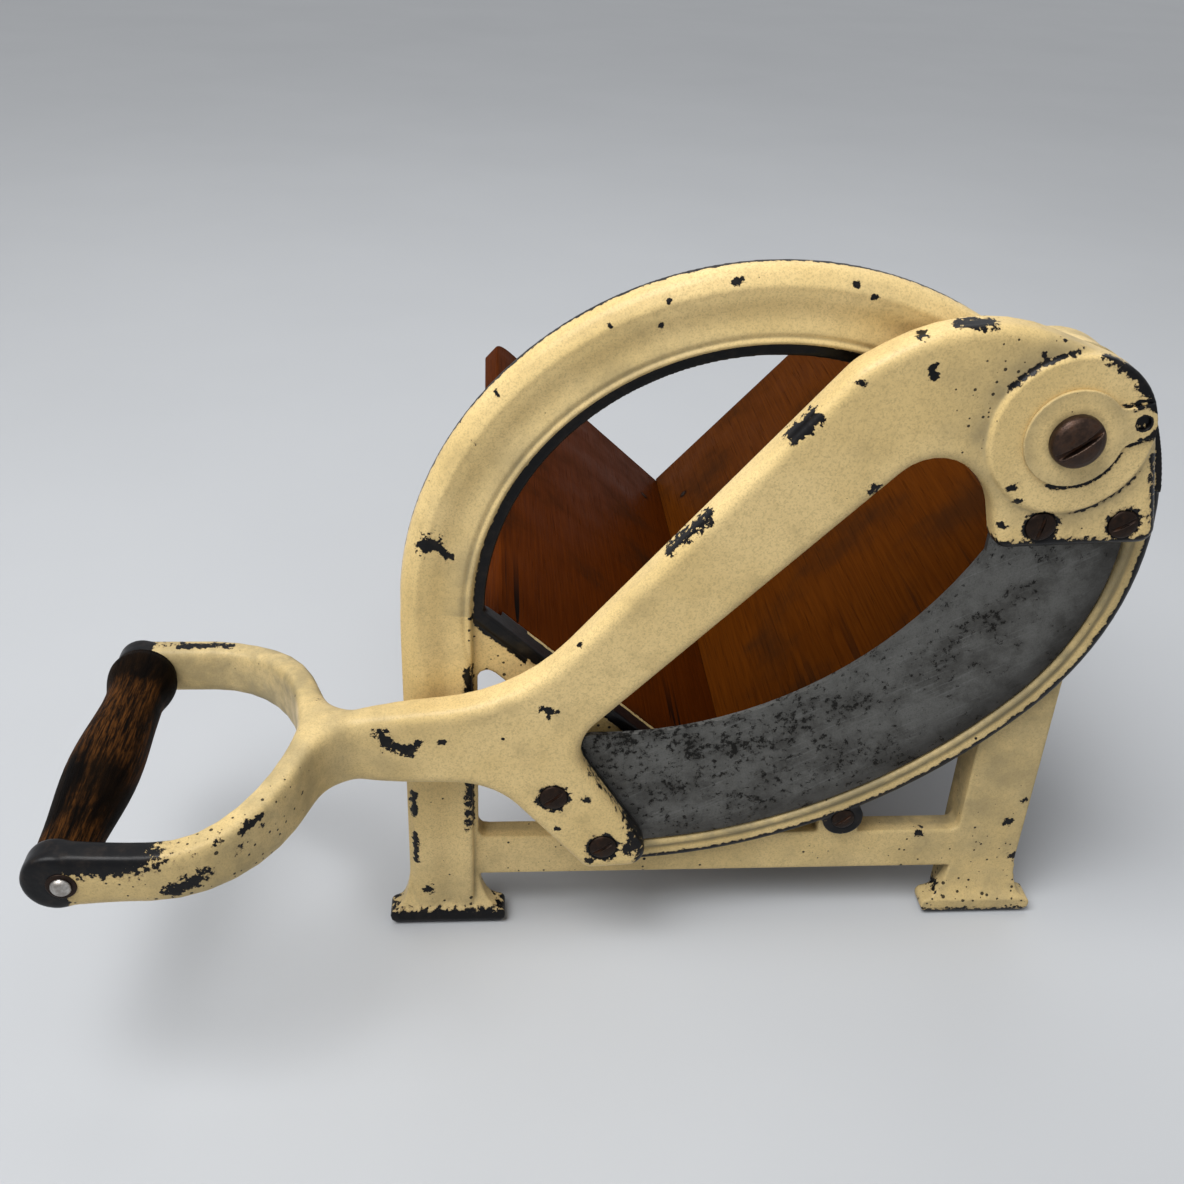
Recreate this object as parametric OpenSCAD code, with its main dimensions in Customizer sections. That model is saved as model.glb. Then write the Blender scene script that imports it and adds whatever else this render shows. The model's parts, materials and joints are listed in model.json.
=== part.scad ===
// Guillotine bread slicer: a cast front frame, a V trough of two boards,
// and a lever with a sickle blade that swings about a bolt at the frame's right shoulder.
// Work axes: x to the right, y away from the user, z up, with the ring's face at y = 0.

/* [Front frame] */
// Outer radius of the ring
ring_r = 140; // [132:1:148]
// Height of the ring's centre over the table
ring_z = 161; // [156:1:170]
// Width of the raised band round the ring
band_w = 28; // [25:0.5:30]
// Width of the worn rim inside the band
rim_w = 5; // [3:0.5:7]
// Depth of the ring casting
ring_t = 10; // [9:0.5:12]
// Width of the rounded outer shoulder of the band
shoulder_w = 9; // [6:0.5:11]
// Depth of the rounded outer shoulder of the band
shoulder_d = 7; // [4:0.5:9]
// Depth of the shallow hollow in the band
hollow_d = 1.4; // [0.6:0.1:2.2]
// Rounding of the bead at the band's inner edge
bead_e = 1.8; // [1:0.1:2.4]
// How far the rim lies behind the ring's face
rim_y = 3.6; // [2.8:0.1:4.2]
// How far the bars and the right post lie behind the ring's face
face_y = 4.4; // [4:0.1:6]
// Depth of the bars, to their back face
bar_t = 11; // [9:0.5:13]
// Width of each post
post_w = 30; // [28:0.5:34]
// Place of the right post's outer side, from the ring's centre
right_x = 135; // [132:0.5:140]
// Depth of each post, from the ring's face
post_d = 22; // [18:0.5:28]
// Wall round the pocket in the back of each post
post_wall = 6; // [5:0.5:8]
// Height of the bottom bar's underside over the table
bar_z = 24.5; // [20:0.5:28]
// Height of the bottom bar
bar_h = 21; // [18:0.5:24]
// Width of each V bar, from the trough's surface down
vee_w = 19; // [18:0.5:22]
// Rounding in the corners of the windows
window_r = 4; // [2:0.5:6]
// Radius of the pivot boss
boss_r = 29; // [26:0.5:33]
// Depth of the pivot boss
boss_d = 18; // [16:0.5:24]
// How far each foot reaches out past its post
foot_out = 9; // [6:0.5:14]
// How far each foot reaches in past its post
foot_in = 12; // [8:0.5:16]
// Height of the straight edge of each foot
foot_h = 9; // [6:0.5:12]
// Height at which the foot's flare meets the post
foot_rise = 30; // [26:1:36]
// Depth of each foot's flare
foot_d = 11; // [9:0.5:18]
// How far each foot stands out in front of the ring's face
foot_front = 1.5; // [1:0.5:6]

/* [Trough] */
// Place of the trough's seam to the right of the ring's centre
vee_x = 3; // [0:0.5:6]
// Height of the trough's seam over the table
vee_z = 62; // [60:0.5:66]
// Slope of the left board in degrees
left_slope = 42; // [40:0.5:46]
// Width of the left board, with the edge that runs under the right one
left_board_w = 150; // [136:1:152]
// Width of the right board
right_board_w = 163; // [150:1:168]
// Thickness of the boards
board_t = 11; // [9:0.5:12]
// Length of the boards
board_l = 316; // [280:1:360]
// Rounding of each board's upper rear corner
board_r = 12; // [6:1:20]
// Thickness of the shelves that carry the boards
shelf_t = 5; // [4:0.5:6]
// Depth of the shelves behind the plates
shelf_d = 26; // [20:1:34]
// Distance from the seam to the near end of a shelf
shelf_in = 14; // [12:1:20]
// Length of each shelf along the slope
shelf_l = 90; // [70:1:96]

/* [Rear stand] */
// Distance from the ring's face to the rear stand
stand_y = 262; // [220:1:270]
// Thickness of the rear stand
stand_t = 9; // [7:0.5:12]
// Half of the rear stand's width
stand_half = 104; // [96:1:112]
// Height of the rear stand's ends
stand_top = 112; // [100:1:120]
// Width of the rear stand's legs
leg_w = 22; // [18:1:28]
// Width of the rear stand's V bars, from the boards' underside down
saddle_w = 14; // [11:0.5:16]
// Depth of the rear stand's feet
stand_foot_d = 30; // [24:1:40]
// How far the rear stand's feet reach out past its legs
stand_foot_out = 6; // [3:0.5:10]

/* [Pivot] */
// Place of the pivot to the right of the ring's centre
pivot_x = 102; // [98:0.5:106]
// Height of the pivot over the ring's centre
pivot_rise = 86; // [82:0.5:90]
// Radius of the pivot bolt's shank
bolt_r = 7; // [5:0.5:9]
// Radius of the pivot bolt's head
bolt_head_r = 10; // [9.5:0.5:13]
// Height of the pivot bolt's domed head
bolt_head_h = 6.5; // [3.5:0.5:7.5]
// Width of the slot in the bolt's head
bolt_slot = 2.6; // [1.6:0.2:3.4]
// Thickness of the washer behind the boss
washer_t = 2; // [1.5:0.25:3]
// Radius of the washer behind the boss
washer_r = 15; // [13:0.5:18]
// Thickness of the nut
nut_t = 8; // [6:0.5:10]
// Radius of the nut to its corners
nut_r = 12; // [11:0.5:13]
// Running clearance between turning pieces
run_gap = 0.3; // [0.2:0.05:0.4]
// Clearance of a screw or bolt in its hole
hole_gap = 0.15; // [0.1:0.05:0.3]

/* [Lever] */
// Thickness of the lever casting
lever_t = 13.2; // [11:0.2:15]
// Rounding of the lever's front edges
lever_e = 4.5; // [2.5:0.5:5]
// Rounding of the lever's back edges
lever_back_e = 1.2; // [0.6:0.2:1.6]
// Radius of the lever's hub
hub_r = 33; // [30:0.5:36]
// Radius of the raised disc on the hub
disc_r = 30.5; // [28:0.5:32]
// Height of the raised disc on the hub
disc_h = 2; // [1:0.25:3]
// Height of the neck between the lever and its fork
neck_h = 32; // [28:0.5:36]
// Distance from the pivot across to the grip's axis
grip_reach = 356; // [340:1:370]
// Distance from the pivot down to the grip's axis
grip_drop = 145; // [141:0.5:148]
// Clear width between the fork's limbs
fork_w = 119; // [108:1:130]
// Thickness of the fork's limbs
limb_t = 12; // [10:0.5:13]
// Height of the fork's limbs
limb_h = 21.5; // [18:0.5:24]
// Thickness of the fork's limbs where they spread
limb_thin = 11; // [8:0.25:12]
// Straight length of each limb beside the rod
limb_straight = 29; // [22:1:36]
// Depth of the fork's rounded crotch
crotch_l = 43; // [36:1:46]
// How far the fork's ends reach past the rod
limb_over = 2.5; // [1:0.5:6]
// Rounding of the rims of the fork's ends
limb_e = 2.5; // [1.5:0.25:3.5]
// Thickness of the locking plate under the bolt's head
lock_t = 1.6; // [1.2:0.2:2.4]
// Radius of the locking plate
lock_r = 18.5; // [17:0.5:22]
// Distance from the pivot to the hole in the locking plate's tail
lock_reach = 24.5; // [23.5:0.25:26]
// Radius of the hole in the locking plate's tail
lock_hole_r = 2.7; // [1.5:0.1:3.2]
// Direction of the locking plate's tail in degrees
lock_angle = 15; // [5:1:25]

/* [Blade and guard] */
// Thickness of the blade
blade_t = 2.4; // [2:0.2:3]
// Gap between the blade and the ring's face
blade_gap = 0.8; // [0.5:0.1:1.2]
// Width of the ground bevel along the cutting edge
bevel_w = 10; // [6:0.5:14]
// Thickness left at the cutting edge
edge_t = 0.7; // [0.5:0.1:1]
// Gap between the cutting edge and the guard
guard_gap = 1.2; // [0.8:0.1:2]
// Width of the guard's band
guard_w = 11.5; // [10:0.5:13]
// Outer radius of the guard's long lower sweep
sweep_r = 240; // [236:1:246]
// Outer radius of the guard's tight upper sweep
turn_r = 122; // [120:0.5:124]
// Radius of the guard's eye round the pivot
eye_r = 30; // [28:0.5:32]
// Radius of the guard's screw lug
lug_r = 9; // [8:0.5:10]
// Place of the guard's screw lug to the right of the ring's centre
lug_x = 49.5; // [44:0.5:56]

/* [Fasteners] */
// Radius of the blade screws' heads
screw_head_r = 5.8; // [5:0.1:6.4]
// Radius of the blade screws' shanks
screw_r = 3; // [2.4:0.1:3.6]
// Depth of the spot face under each blade screw's head
spot_d = 1.2; // [0.8:0.1:1.8]
// Radius of the guard screw's head
lug_screw_head_r = 5; // [4.4:0.1:5.6]
// Radius of the guard screw's shank
lug_screw_r = 2.5; // [2:0.1:3]
// Radius of the wood screws' heads
wood_head_r = 4.2; // [3.6:0.1:5]
// Radius of the wood screws' shanks
wood_screw_r = 2; // [1.6:0.1:2.4]
// How far the wood screws reach into the boards
wood_bite = 7; // [5:0.5:8]
// Radius of the nails' flat heads
nail_head_r = 1.8; // [1.5:0.1:2.6]
// Radius of the nails' shanks
nail_r = 1.1; // [0.9:0.1:1.4]

/* [Grip] */
// Radius of the rod through the grip
rod_r = 3; // [2.5:0.1:3.5]
// Radius of the rod's domed ends
dome_r = 3.8; // [3.6:0.1:5.6]
// Height of the rod's domed ends
dome_h = 2.6; // [1.8:0.1:3.4]
// Radius of the washers under the rod's ends
rod_washer_r = 5.4; // [4.8:0.1:7.8]
// Thickness of the washers under the rod's ends
rod_washer_t = 1; // [0.8:0.1:1.4]
// Radius of the grip at its belly
grip_r = 13.9; // [13:0.1:16]
// Radius of the grip at its waist
waist_r = 11.8; // [10.5:0.1:13]
// Radius of the grip's collar at the far end
collar_r = 14.4; // [13:0.1:15.5]
// Radius of the grip at its near end
near_r = 10.4; // [9.5:0.1:12]

/* [Hidden] */
$fn = 64;

// Colours of the finishes
CREAM = "#cdb47d";
WOOD = "#7a4a20";
DARK_WOOD = "#3a2413";
STEEL = "#6a6a6a";
BROWNED = "#4a3a32";

// Heights and radii that follow from the frame's sizes
band_r = ring_r - band_w;
open_r = band_r - rim_w;
ridge_r = ring_r - shoulder_w;
bar_top = bar_z + bar_h;
bar_back = face_y + bar_t;
pivot_z = ring_z + pivot_rise;
right_slope = 90 - left_slope;
big = 400;

// Depth planes of the moving pieces, toward the user from the ring's face
lever_back = -blade_gap - blade_t;
lever_front = lever_back - lever_t;
lever_mid = (lever_back + lever_front) / 2;
disc_front = lever_front - disc_h;
lock_front = disc_front - lock_t;
guard_front = lever_back + 2 * run_gap;
eye_front = guard_front + 0.2;
lug_front = guard_front + 2.4;
lug_seat = lug_front + 0.6;
stand_shelf_y = stand_y + stand_t;

// The grip's axis and the planes at its ends
grip_x = pivot_x - grip_reach;
grip_z = pivot_z - grip_drop;
fork_half = fork_w / 2;
limb_out = fork_half + limb_t;
rod_end = limb_out + rod_washer_t;

// Centres of the guard's two sweeps, which share a tangent at sweep_turn
sweep_turn = -42;
sweep_x = -57;
sweep_z = ring_z + 114;
turn_x = sweep_x + (sweep_r - turn_r) * cos(sweep_turn);
turn_z = sweep_z + (sweep_r - turn_r) * sin(sweep_turn);
sweep_start = -84.5;
guard_start = sweep_start - 4;
turn_end = 14;
web_start = 27;
edge_cut = guard_w + guard_gap;
lug_z = sweep_z - sqrt(pow(sweep_r, 2) - pow(lug_x - sweep_x, 2)) - 3;

// The blade's screws, in the leg and under the hub, from the pivot
LEG_SCREWS = [[-181, -163], [-159.5, -190]];
HUB_SCREWS = [[-3, -37], [28.5, -36]];

// The lever's outline from the pivot: x, z and the corner's radius
neck_x = 260;
neck_z = grip_drop - 5.5;
LEVER = [[-neck_x, -neck_z - neck_h / 2, 3], [-206, -neck_z - neck_h / 2 - 1, 35], [-166.5, -203, 5],
         [-135, -201.5, 8], [-175, -138.3, 18], [-45.5, -2.8, 18.5], [-23.3, -25, 30], [-17.5, -47.5, 5],
         [44, -44.5, 6], [27.2, 22, hub_r], [-41, 46.8, 68], [-79.5, 23.5, 22],
         [-196, -neck_z + neck_h / 2 + 6.5, 75], [-neck_x, -neck_z + neck_h / 2, 3]];

// How far the finished part is moved so that its box stands centred on the origin
box_left = grip_x - limb_over - limb_h / 2;
box_right = turn_x + turn_r;
box_front = lever_mid - rod_end - dome_h;
box_back = bar_back + board_l;

// Points of an arc about c
function arc(c, r, a0, a1, n) = [for (i = [0:n]) let (a = a0 + (a1 - a0) * i / n) c + r * [cos(a), sin(a)]];

// Unit vector from p to q
function unit(p, q) = (q - p) / norm(q - p);

// Left-hand normal of a direction
function left(d) = [-d[1], d[0]];

// Cross product of two plane vectors
function turn(a, b) = a[0] * b[1] - a[1] * b[0];

// The arc that rounds corner q between p and s with radius r
function fillet(p, q, s, r, n) =
    let (d0 = unit(p, q), d1 = unit(q, s), bend = acos(max(-1, min(1, d0 * d1))),
         way = turn(d0, d1) > 0 ? 1 : -1, c = q - r * tan(bend / 2) * d0 + way * r * left(d0))
    [for (i = [0:n]) let (a = way * bend * i / n, v = -way * left(d0)) c + r * [v[0] * cos(a) - v[1] * sin(a),
                                                                           v[0] * sin(a) + v[1] * cos(a)]];

// A closed outline with its corners rounded, drawn in by inset; corners are x, y and radius
function rounded(pts, n, inset = 0) =
    let (m = len(pts), xy = [for (p = pts) [p[0], p[1]]],
         dir = [for (i = [0:m - 1]) unit(xy[i], xy[(i + 1) % m])],
         q = [for (i = [0:m - 1]) let (a = left(dir[(i + m - 1) % m]), b = left(dir[i]))
              xy[i] + inset * (a + b) / (1 + a * b)],
         r = [for (i = [0:m - 1]) turn(dir[(i + m - 1) % m], dir[i]) > 0 ? max(0.4, pts[i][2] - inset)
              : pts[i][2] + inset])
    [for (i = [0:m - 1]) each fillet(q[(i + m - 1) % m], q[i], q[(i + 1) % m], r[i], n)];

// The two triangles between neighbouring points of rings a and b
function strip(a, b, n) = [for (i = [0:n - 1]) let (k = (i + 1) % n) each [
    [a * n + i, b * n + i, b * n + k], [a * n + i, b * n + k, a * n + k]]];

// A closed skin over rings of points, all of the same count, with each end fanned from its first point
module skin(rings) {
    n = len(rings[0]);
    last = len(rings) - 1;
    polyhedron([for (ring = rings) each ring], concat([for (j = [0:last - 1]) each strip(j, j + 1, n)],
        [for (i = [1:n - 2]) [0, i, i + 1]], [for (i = [1:n - 2]) [last * n, last * n + i + 1, last * n + i]]));
}

// A skin whose last ring runs into its first
module loop_skin(rings) {
    n = len(rings[0]);
    m = len(rings);
    polyhedron([for (ring = rings) each ring], [for (j = [0:m - 1]) each strip(j, (j + 1) % m, n)]);
}

// Extrudes an x, z outline from y0 to y1
module slab(y0, y1) {
    translate([0, y1, 0]) rotate([90, 0, 0]) linear_extrude(y1 - y0) children();
}

// A round bar along y
module rod(x, z, y0, y1, r) {
    translate([x, y1, z]) rotate([90, 0, 0]) cylinder(r = r, h = y1 - y0);
}

// Revolves an outline of radius and y about an axis along y, from angle a0 through a degrees
module spin(x, z, a0 = 0, a = 360) {
    translate([x, 0, z]) rotate([90, 0, 0]) mirror([0, 0, 1]) rotate([0, 0, a0]) rotate_extrude(angle = a, $fn = 180)
        children();
}

// Carries the finished piece to the part's origin
module place() {
    translate([-(box_left + box_right) / 2, -(box_front + box_back) / 2, 0]) children();
}

// The corner above both boards, lowered square to their faces by drop
module vee(drop) {
    translate([vee_x, vee_z]) rotate(right_slope) translate([-drop, -drop]) square(big);
}

// The two triangular windows below V bars of width drop, between posts whose inner sides are given
module windows(from, to, low, drop) {
    lx = vee_x - drop * sin(left_slope);
    lz = vee_z - drop * cos(left_slope);
    rx = vee_x + drop * sin(right_slope);
    rz = vee_z - drop * cos(right_slope);
    polygon(rounded([[from, low, window_r], [lx + (lz - low) / tan(left_slope), low, window_r],
                     [from, lz + (lx - from) * tan(left_slope), window_r]], 6));
    polygon(rounded([[rx + (low - rz) / tan(right_slope), low, window_r], [to, low, window_r],
                     [to, rz + (to - rx) * tan(right_slope), window_r]], 6));
}

// One board's space: local u up the slope, v into the board
module on_slope(side) {
    translate([vee_x, 0, vee_z]) rotate([0, side > 0 ? -right_slope : left_slope, 0]) children();
}

// Shelves that carry both boards, from y0 to y1
module shelves(y0, y1) {
    for (side = [-1, 1])
        on_slope(side)
            translate([side > 0 ? shelf_in : -shelf_in - shelf_l, y0, -board_t - shelf_t])
                cube([shelf_l, y1 - y0, shelf_t]);
}

// A screw's axis on a board, s up the slope from the seam
module at_board(side, s, y) {
    on_slope(side) translate([side * s, y, 0]) children();
}

// Half outline of a slotted domed head: radius r, rise h, from the seat at zero
module dome_head(r, h, slot, slot_angle) {
    difference() {
        rotate_extrude() polygon(concat([[0, 0], [r, 0]],
            [for (i = [0:6]) let (a = 15 * i) [r * cos(a), h * (0.35 + 0.65 * sin(a))]]));
        rotate(slot_angle) translate([-2 * r, -slot / 2, h * 0.55]) cube([4 * r, slot, h]);
    }
}

// Places a head or screw that is built along +Z so that it faces the user
module facing(x, y, z) {
    translate([x, y, z]) rotate([90, 0, 0]) children();
}

// Section of the raised band as radius and depth: shoulder, ridge, hollow and bead
function band_section() = concat(
    [[ring_r, ring_t]],
    [for (i = [0:6]) let (a = 15 * i) [ring_r - shoulder_w * (1 - cos(a)), shoulder_d * (1 - sin(a))]],
    [for (i = [1:9]) let (u = i / 10) [ridge_r - (ridge_r - band_r - bead_e) * u, hollow_d * (1 - cos(360 * u)) / 2]],
    [for (i = [0:4]) let (a = 22.5 * i) [band_r + bead_e * (1 - sin(a)), bead_e * (1 - cos(a))]],
    [[band_r, ring_t]]);

// One side of a foot's outline, from the sole up: rounded toe, then a hollow flare
function foot_side(x, out, rise) = let (low = 0.6 * foot_h, top = foot_h / 3) concat(
    [for (i = [0:6]) let (a = 15 * i) [x + out - low + low * sin(a), low - low * cos(a)]],
    [for (i = [0:4]) let (a = 20 * i) [x + out - top + top * cos(a), foot_h - 0.3 - top + top * sin(a)]],
    [for (i = [1:8]) let (a = 90 * i / 8) [x + (out - top) * (1 - sin(a)), rise - (rise - foot_h) * cos(a)]]);

// Outline of a foot under a post of width w that reaches past it by a on the left and b on the right
module foot_outline(w, a, b, rise) {
    lefts = foot_side(w / 2, a, rise);
    polygon(concat(foot_side(w / 2, b, rise), [for (i = [len(lefts) - 1:-1:0]) [-lefts[i][0], lefts[i][1]]]));
}

// The flare of one foot of the front frame, which also stands out a little in front of its post
module front_foot(x, a, b) {
    intersection() {
        translate([x + post_w / 2, 0, 0]) slab(-foot_front, foot_d - foot_front)
            foot_outline(post_w, a, b, foot_rise);
        translate([-big, 0, 0]) rotate([90, 0, 90]) linear_extrude(2 * big) polygon(concat(
            [[-foot_front + 3, 0], [foot_d - foot_front, 0], [foot_d - foot_front, foot_rise]],
            [for (i = [8:-1:1]) let (a = 90 * i / 8) [face_y - (face_y + foot_front) * (1 - sin(a)),
                                                      foot_rise - (foot_rise - foot_h) * cos(a)]],
            [[-foot_front, foot_h - 0.8], [-foot_front, 3.2], [-foot_front + 0.9, 0.9]]));
    }
}

// Front frame: ring, posts, bars, boss and shelves in one casting
module front_frame() {
    color(CREAM) place() difference() {
        union() {
            // Raised band round the left and top, with the left post below it
            spin(0, ring_z, 38, 142) polygon(band_section());
            translate([0, 0, foot_h]) linear_extrude(ring_z - foot_h)
                polygon([for (p = band_section()) [-p[0], p[1]]]);
            // Rim inside the band and the set-back right side of the ring
            spin(0, ring_z, 0, 179.4) translate([open_r, rim_y]) square([rim_w + 1, ring_t - rim_y - 0.4]);
            slab(face_y + 0.3, bar_back - 0.3) translate([-ring_r + 5, ring_z - 3]) square([post_w - 5.5, 5]);
            spin(0, ring_z, 0, 44) translate([band_r, face_y]) square([band_w - 0.5, ring_t - face_y - 0.8]);
            // Panel of posts, bottom bar and V bars
            slab(face_y, bar_back) difference() {
                translate([-ring_r, bar_z]) square([ring_r + right_x, ring_z - bar_z]);
                vee(0);
                windows(post_w - ring_r, right_x - post_w, bar_top, vee_w);
            }
            // Worn rim along the V bars
            slab(rim_y, face_y + 1) intersection() {
                difference() {
                    vee(rim_w);
                    vee(0);
                }
                translate([-band_r, bar_top]) square([2 * band_r, ring_z - bar_top]);
            }
            // Deep posts with a pocket in the back
            for (x = [-ring_r, right_x - post_w]) difference() {
                translate([x, face_y, 0]) cube([post_w, post_d - face_y, ring_z]);
                translate([x + post_wall, bar_back, bar_z + post_wall])
                    cube([post_w - 2 * post_wall, post_d, ring_z - bar_z - 2 * post_wall]);
                slab(bar_back, post_d + 1) vee(board_t);
            }
            front_foot(-ring_r, foot_out, foot_in);
            front_foot(right_x - post_w, foot_in, foot_out);
            rod(pivot_x, pivot_z, 0, boss_d, boss_r);
            // Pad behind the guard's lug
            slab(face_y, bar_back) translate([lug_x - lug_r, bar_top - 1]) square([2 * lug_r, lug_z - bar_top + 1]);
            rod(lug_x, lug_z, face_y, bar_back, lug_r);
            intersection() {
                shelves(bar_back - 1, bar_back + shelf_d);
                slab(0, big) vee(board_t + shelf_t);
            }
        }
        // Pivot bore, the guard screw's hole and the board screws' holes
        rod(pivot_x, pivot_z, -1, boss_d + 1, bolt_r + hole_gap);
        rod(lug_x, lug_z, face_y - 1, bar_back + 1, lug_screw_r + hole_gap);
        for (side = [-1, 1], s = BOARD_SCREWS)
            at_board(side, s, bar_back + shelf_d / 2) translate([0, 0, -board_t - shelf_t - 1])
                cylinder(r = wood_screw_r + hole_gap, h = shelf_t + 2);
    }
}

// Section of the guard's band about a sweep of outer radius r: ridge, groove and sloped outer band
function guard_section(r) = let (inner = r - guard_w) concat(
    [[r - guard_w / 2, face_y], [inner, face_y]],
    [for (i = [0:4]) let (a = 180 - 45 * i) [inner + 1.4 + 1.4 * cos(a), guard_front + 1.2 - 1.2 * sin(a)]],
    [for (i = [1:6]) let (u = i / 6) [inner + 2.8 + 3.2 * u, guard_front + 1.2 + 0.9 * sin(180 * u)]],
    [for (i = [1:5]) let (a = 18 * i) [r - 4.5 + 4.5 * sin(a), guard_front + 1.2 + 3 * (1 - cos(a))]],
    [[r, face_y]]);

// The angles of the guard's sections, each with the centre and radius of its sweep
GUARD_STATIONS = concat(
    [for (i = [0:18]) [sweep_x, sweep_z, sweep_r, guard_start + (sweep_turn - guard_start) * i / 18]],
    [for (i = [1:16]) [turn_x, turn_z, turn_r, sweep_turn + (turn_end - sweep_turn) * i / 16]]);

// Guard: a swept band, an eye on the pivot with a web to the band, and a screw lug
module blade_guard() {
    color(CREAM) place() difference() {
        union() {
            skin([for (s = GUARD_STATIONS) [for (p = guard_section(s[2]))
                [s[0] + p[0] * cos(s[3]), p[1], s[1] + p[0] * sin(s[3])]]]);
            rod(pivot_x, pivot_z, eye_front, 0, eye_r);
            slab(eye_front, 0) polygon(concat([[pivot_x, pivot_z]],
                arc([turn_x, turn_z], turn_r - 1, turn_end - 4, web_start, 8),
                [[pivot_x + eye_r * cos(50), pivot_z + eye_r * sin(50)]]));
            rod(lug_x, lug_z, lug_front, face_y, lug_r);
        }
        rod(pivot_x, pivot_z, guard_front - 1, 1, bolt_r + hole_gap);
        rod(lug_x, lug_z, guard_front - 1, face_y + 1, lug_screw_r + hole_gap);
        rod(lug_x, lug_z, guard_front - 1, lug_seat, lug_screw_head_r + hole_gap);
    }
}

// Screw that holds the guard's lug to the bottom bar
module guard_screw() {
    color(BROWNED) place() union() {
        facing(lug_x, lug_seat, lug_z) dome_head(lug_screw_head_r, 1.8, 1.2, 40);
        rod(lug_x, lug_z, lug_seat, bar_back, lug_screw_r);
    }
}

// Distances up the slope of the screws in the front shelves
BOARD_SCREWS = [shelf_in + 16, shelf_in + shelf_l - 14];
// Distance up the slope of the nails through the boards into the rear stand
NAIL = shelf_in + 3;

// A board's blank from low to high up the slope, with its upper rear corner rounded
module board(side, low, high) {
    on_slope(side) translate([0, 0, -board_t]) mirror([side > 0 ? 0 : 1, 0, 0]) linear_extrude(board_t)
        polygon(concat([[low, bar_back], [high, bar_back]],
            arc([high - board_r, bar_back + board_l - board_r], board_r, 0, 90, 10),
            [[low, bar_back + board_l]]));
}

// Holes for the wood screws from below and the nail from above
module board_holes(side) {
    for (s = BOARD_SCREWS)
        at_board(side, s, bar_back + shelf_d / 2) translate([0, 0, -board_t - 1])
            cylinder(r = wood_screw_r + hole_gap, h = wood_bite + 1.5);
    at_board(side, BOARD_SCREWS[1], stand_shelf_y + shelf_d / 2) translate([0, 0, -board_t - 1])
        cylinder(r = wood_screw_r + hole_gap, h = wood_bite + 1.5);
    at_board(side, NAIL, stand_shelf_y + shelf_d / 2) translate([0, 0, -board_t - 1])
        cylinder(r = nail_r + hole_gap, h = board_t + 2);
    at_board(side, NAIL, stand_shelf_y + shelf_d / 2) translate([0, 0, -0.8])
        cylinder(r = nail_head_r + hole_gap, h = 3);
}

// Left board, which also runs under the right board's lower edge
module left_board() {
    color(WOOD) place() difference() {
        board(-1, -board_t, left_board_w - board_t);
        board_holes(-1);
    }
}

// Right board, standing on the left one
module right_board() {
    color(WOOD) place() difference() {
        board(1, 0, right_board_w);
        board_holes(1);
    }
}

// Rear stand: a saddle under the boards on two legs
module rear_stand() {
    color(CREAM) place() difference() {
        union() {
            slab(stand_y, stand_shelf_y) difference() {
                translate([-stand_half, bar_z]) square([2 * stand_half, stand_top - bar_z]);
                vee(board_t);
                windows(leg_w - stand_half, stand_half - leg_w, bar_top, board_t + saddle_w);
            }
            intersection() {
                shelves(stand_shelf_y - 1, stand_shelf_y + shelf_d);
                slab(0, big) vee(board_t + shelf_t);
            }
            for (side = [-1, 1]) translate([side * (stand_half - leg_w / 2), 0, 0])
                slab(stand_y - (stand_foot_d - stand_t) / 2, stand_shelf_y + (stand_foot_d - stand_t) / 2)
                    foot_outline(leg_w, stand_foot_out, stand_foot_out, bar_z + 2);
        }
        for (side = [-1, 1], h = [[NAIL, nail_r], [BOARD_SCREWS[1], wood_screw_r]])
            at_board(side, h[0], stand_shelf_y + shelf_d / 2) translate([0, 0, -board_t - shelf_t - 1])
                cylinder(r = h[1] + hole_gap, h = shelf_t + 2);
    }
}

// A round-headed wood screw driven up through a shelf
module shelf_screw() {
    translate([0, 0, -board_t - shelf_t]) mirror([0, 0, 1]) dome_head(wood_head_r, 2.4, 1, 30);
    translate([0, 0, -board_t - shelf_t - 0.5]) cylinder(r = wood_screw_r, h = shelf_t + wood_bite + 0.5);
}

// Screws through the front shelves into the boards
module front_board_screws() {
    color(BROWNED) place() for (side = [-1, 1], s = BOARD_SCREWS)
        at_board(side, s, bar_back + shelf_d / 2) shelf_screw();
}

// Nails down through the boards into the rear stand's shelves
module board_nails() {
    color(BROWNED) place() for (side = [-1, 1])
        at_board(side, NAIL, stand_shelf_y + shelf_d / 2) {
            translate([0, 0, -0.8]) cylinder(r = nail_head_r, h = 0.8);
            translate([0, 0, -board_t - shelf_t]) cylinder(r = nail_r, h = board_t + shelf_t - 0.5);
        }
}

// Screws through the rear stand's shelves into the boards
module stand_screws() {
    color(BROWNED) place() for (side = [-1, 1])
        at_board(side, BOARD_SCREWS[1], stand_shelf_y + shelf_d / 2) shelf_screw();
}

// Pivot bolt: slotted domed head and shank
module pivot_bolt() {
    color(BROWNED) place() union() {
        facing(pivot_x, lock_front - run_gap, pivot_z) dome_head(bolt_head_r, bolt_head_h, bolt_slot, 38);
        rod(pivot_x, pivot_z, lock_front - run_gap - 0.5, boss_d + washer_t + nut_t + 2, bolt_r);
    }
}

// Washer between the boss and the nut
module pivot_washer() {
    color(STEEL) place() difference() {
        rod(pivot_x, pivot_z, boss_d, boss_d + washer_t, washer_r);
        rod(pivot_x, pivot_z, boss_d - 1, boss_d + washer_t + 1, bolt_r + hole_gap);
    }
}

// Hexagon nut on the pivot bolt
module pivot_nut() {
    color(STEEL) place() difference() {
        translate([pivot_x, boss_d + washer_t + nut_t, pivot_z]) rotate([90, 0, 0])
            cylinder(r = nut_r, h = nut_t, $fn = 6);
        rod(pivot_x, pivot_z, boss_d, boss_d + washer_t + nut_t + 1, bolt_r + hole_gap);
    }
}

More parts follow.
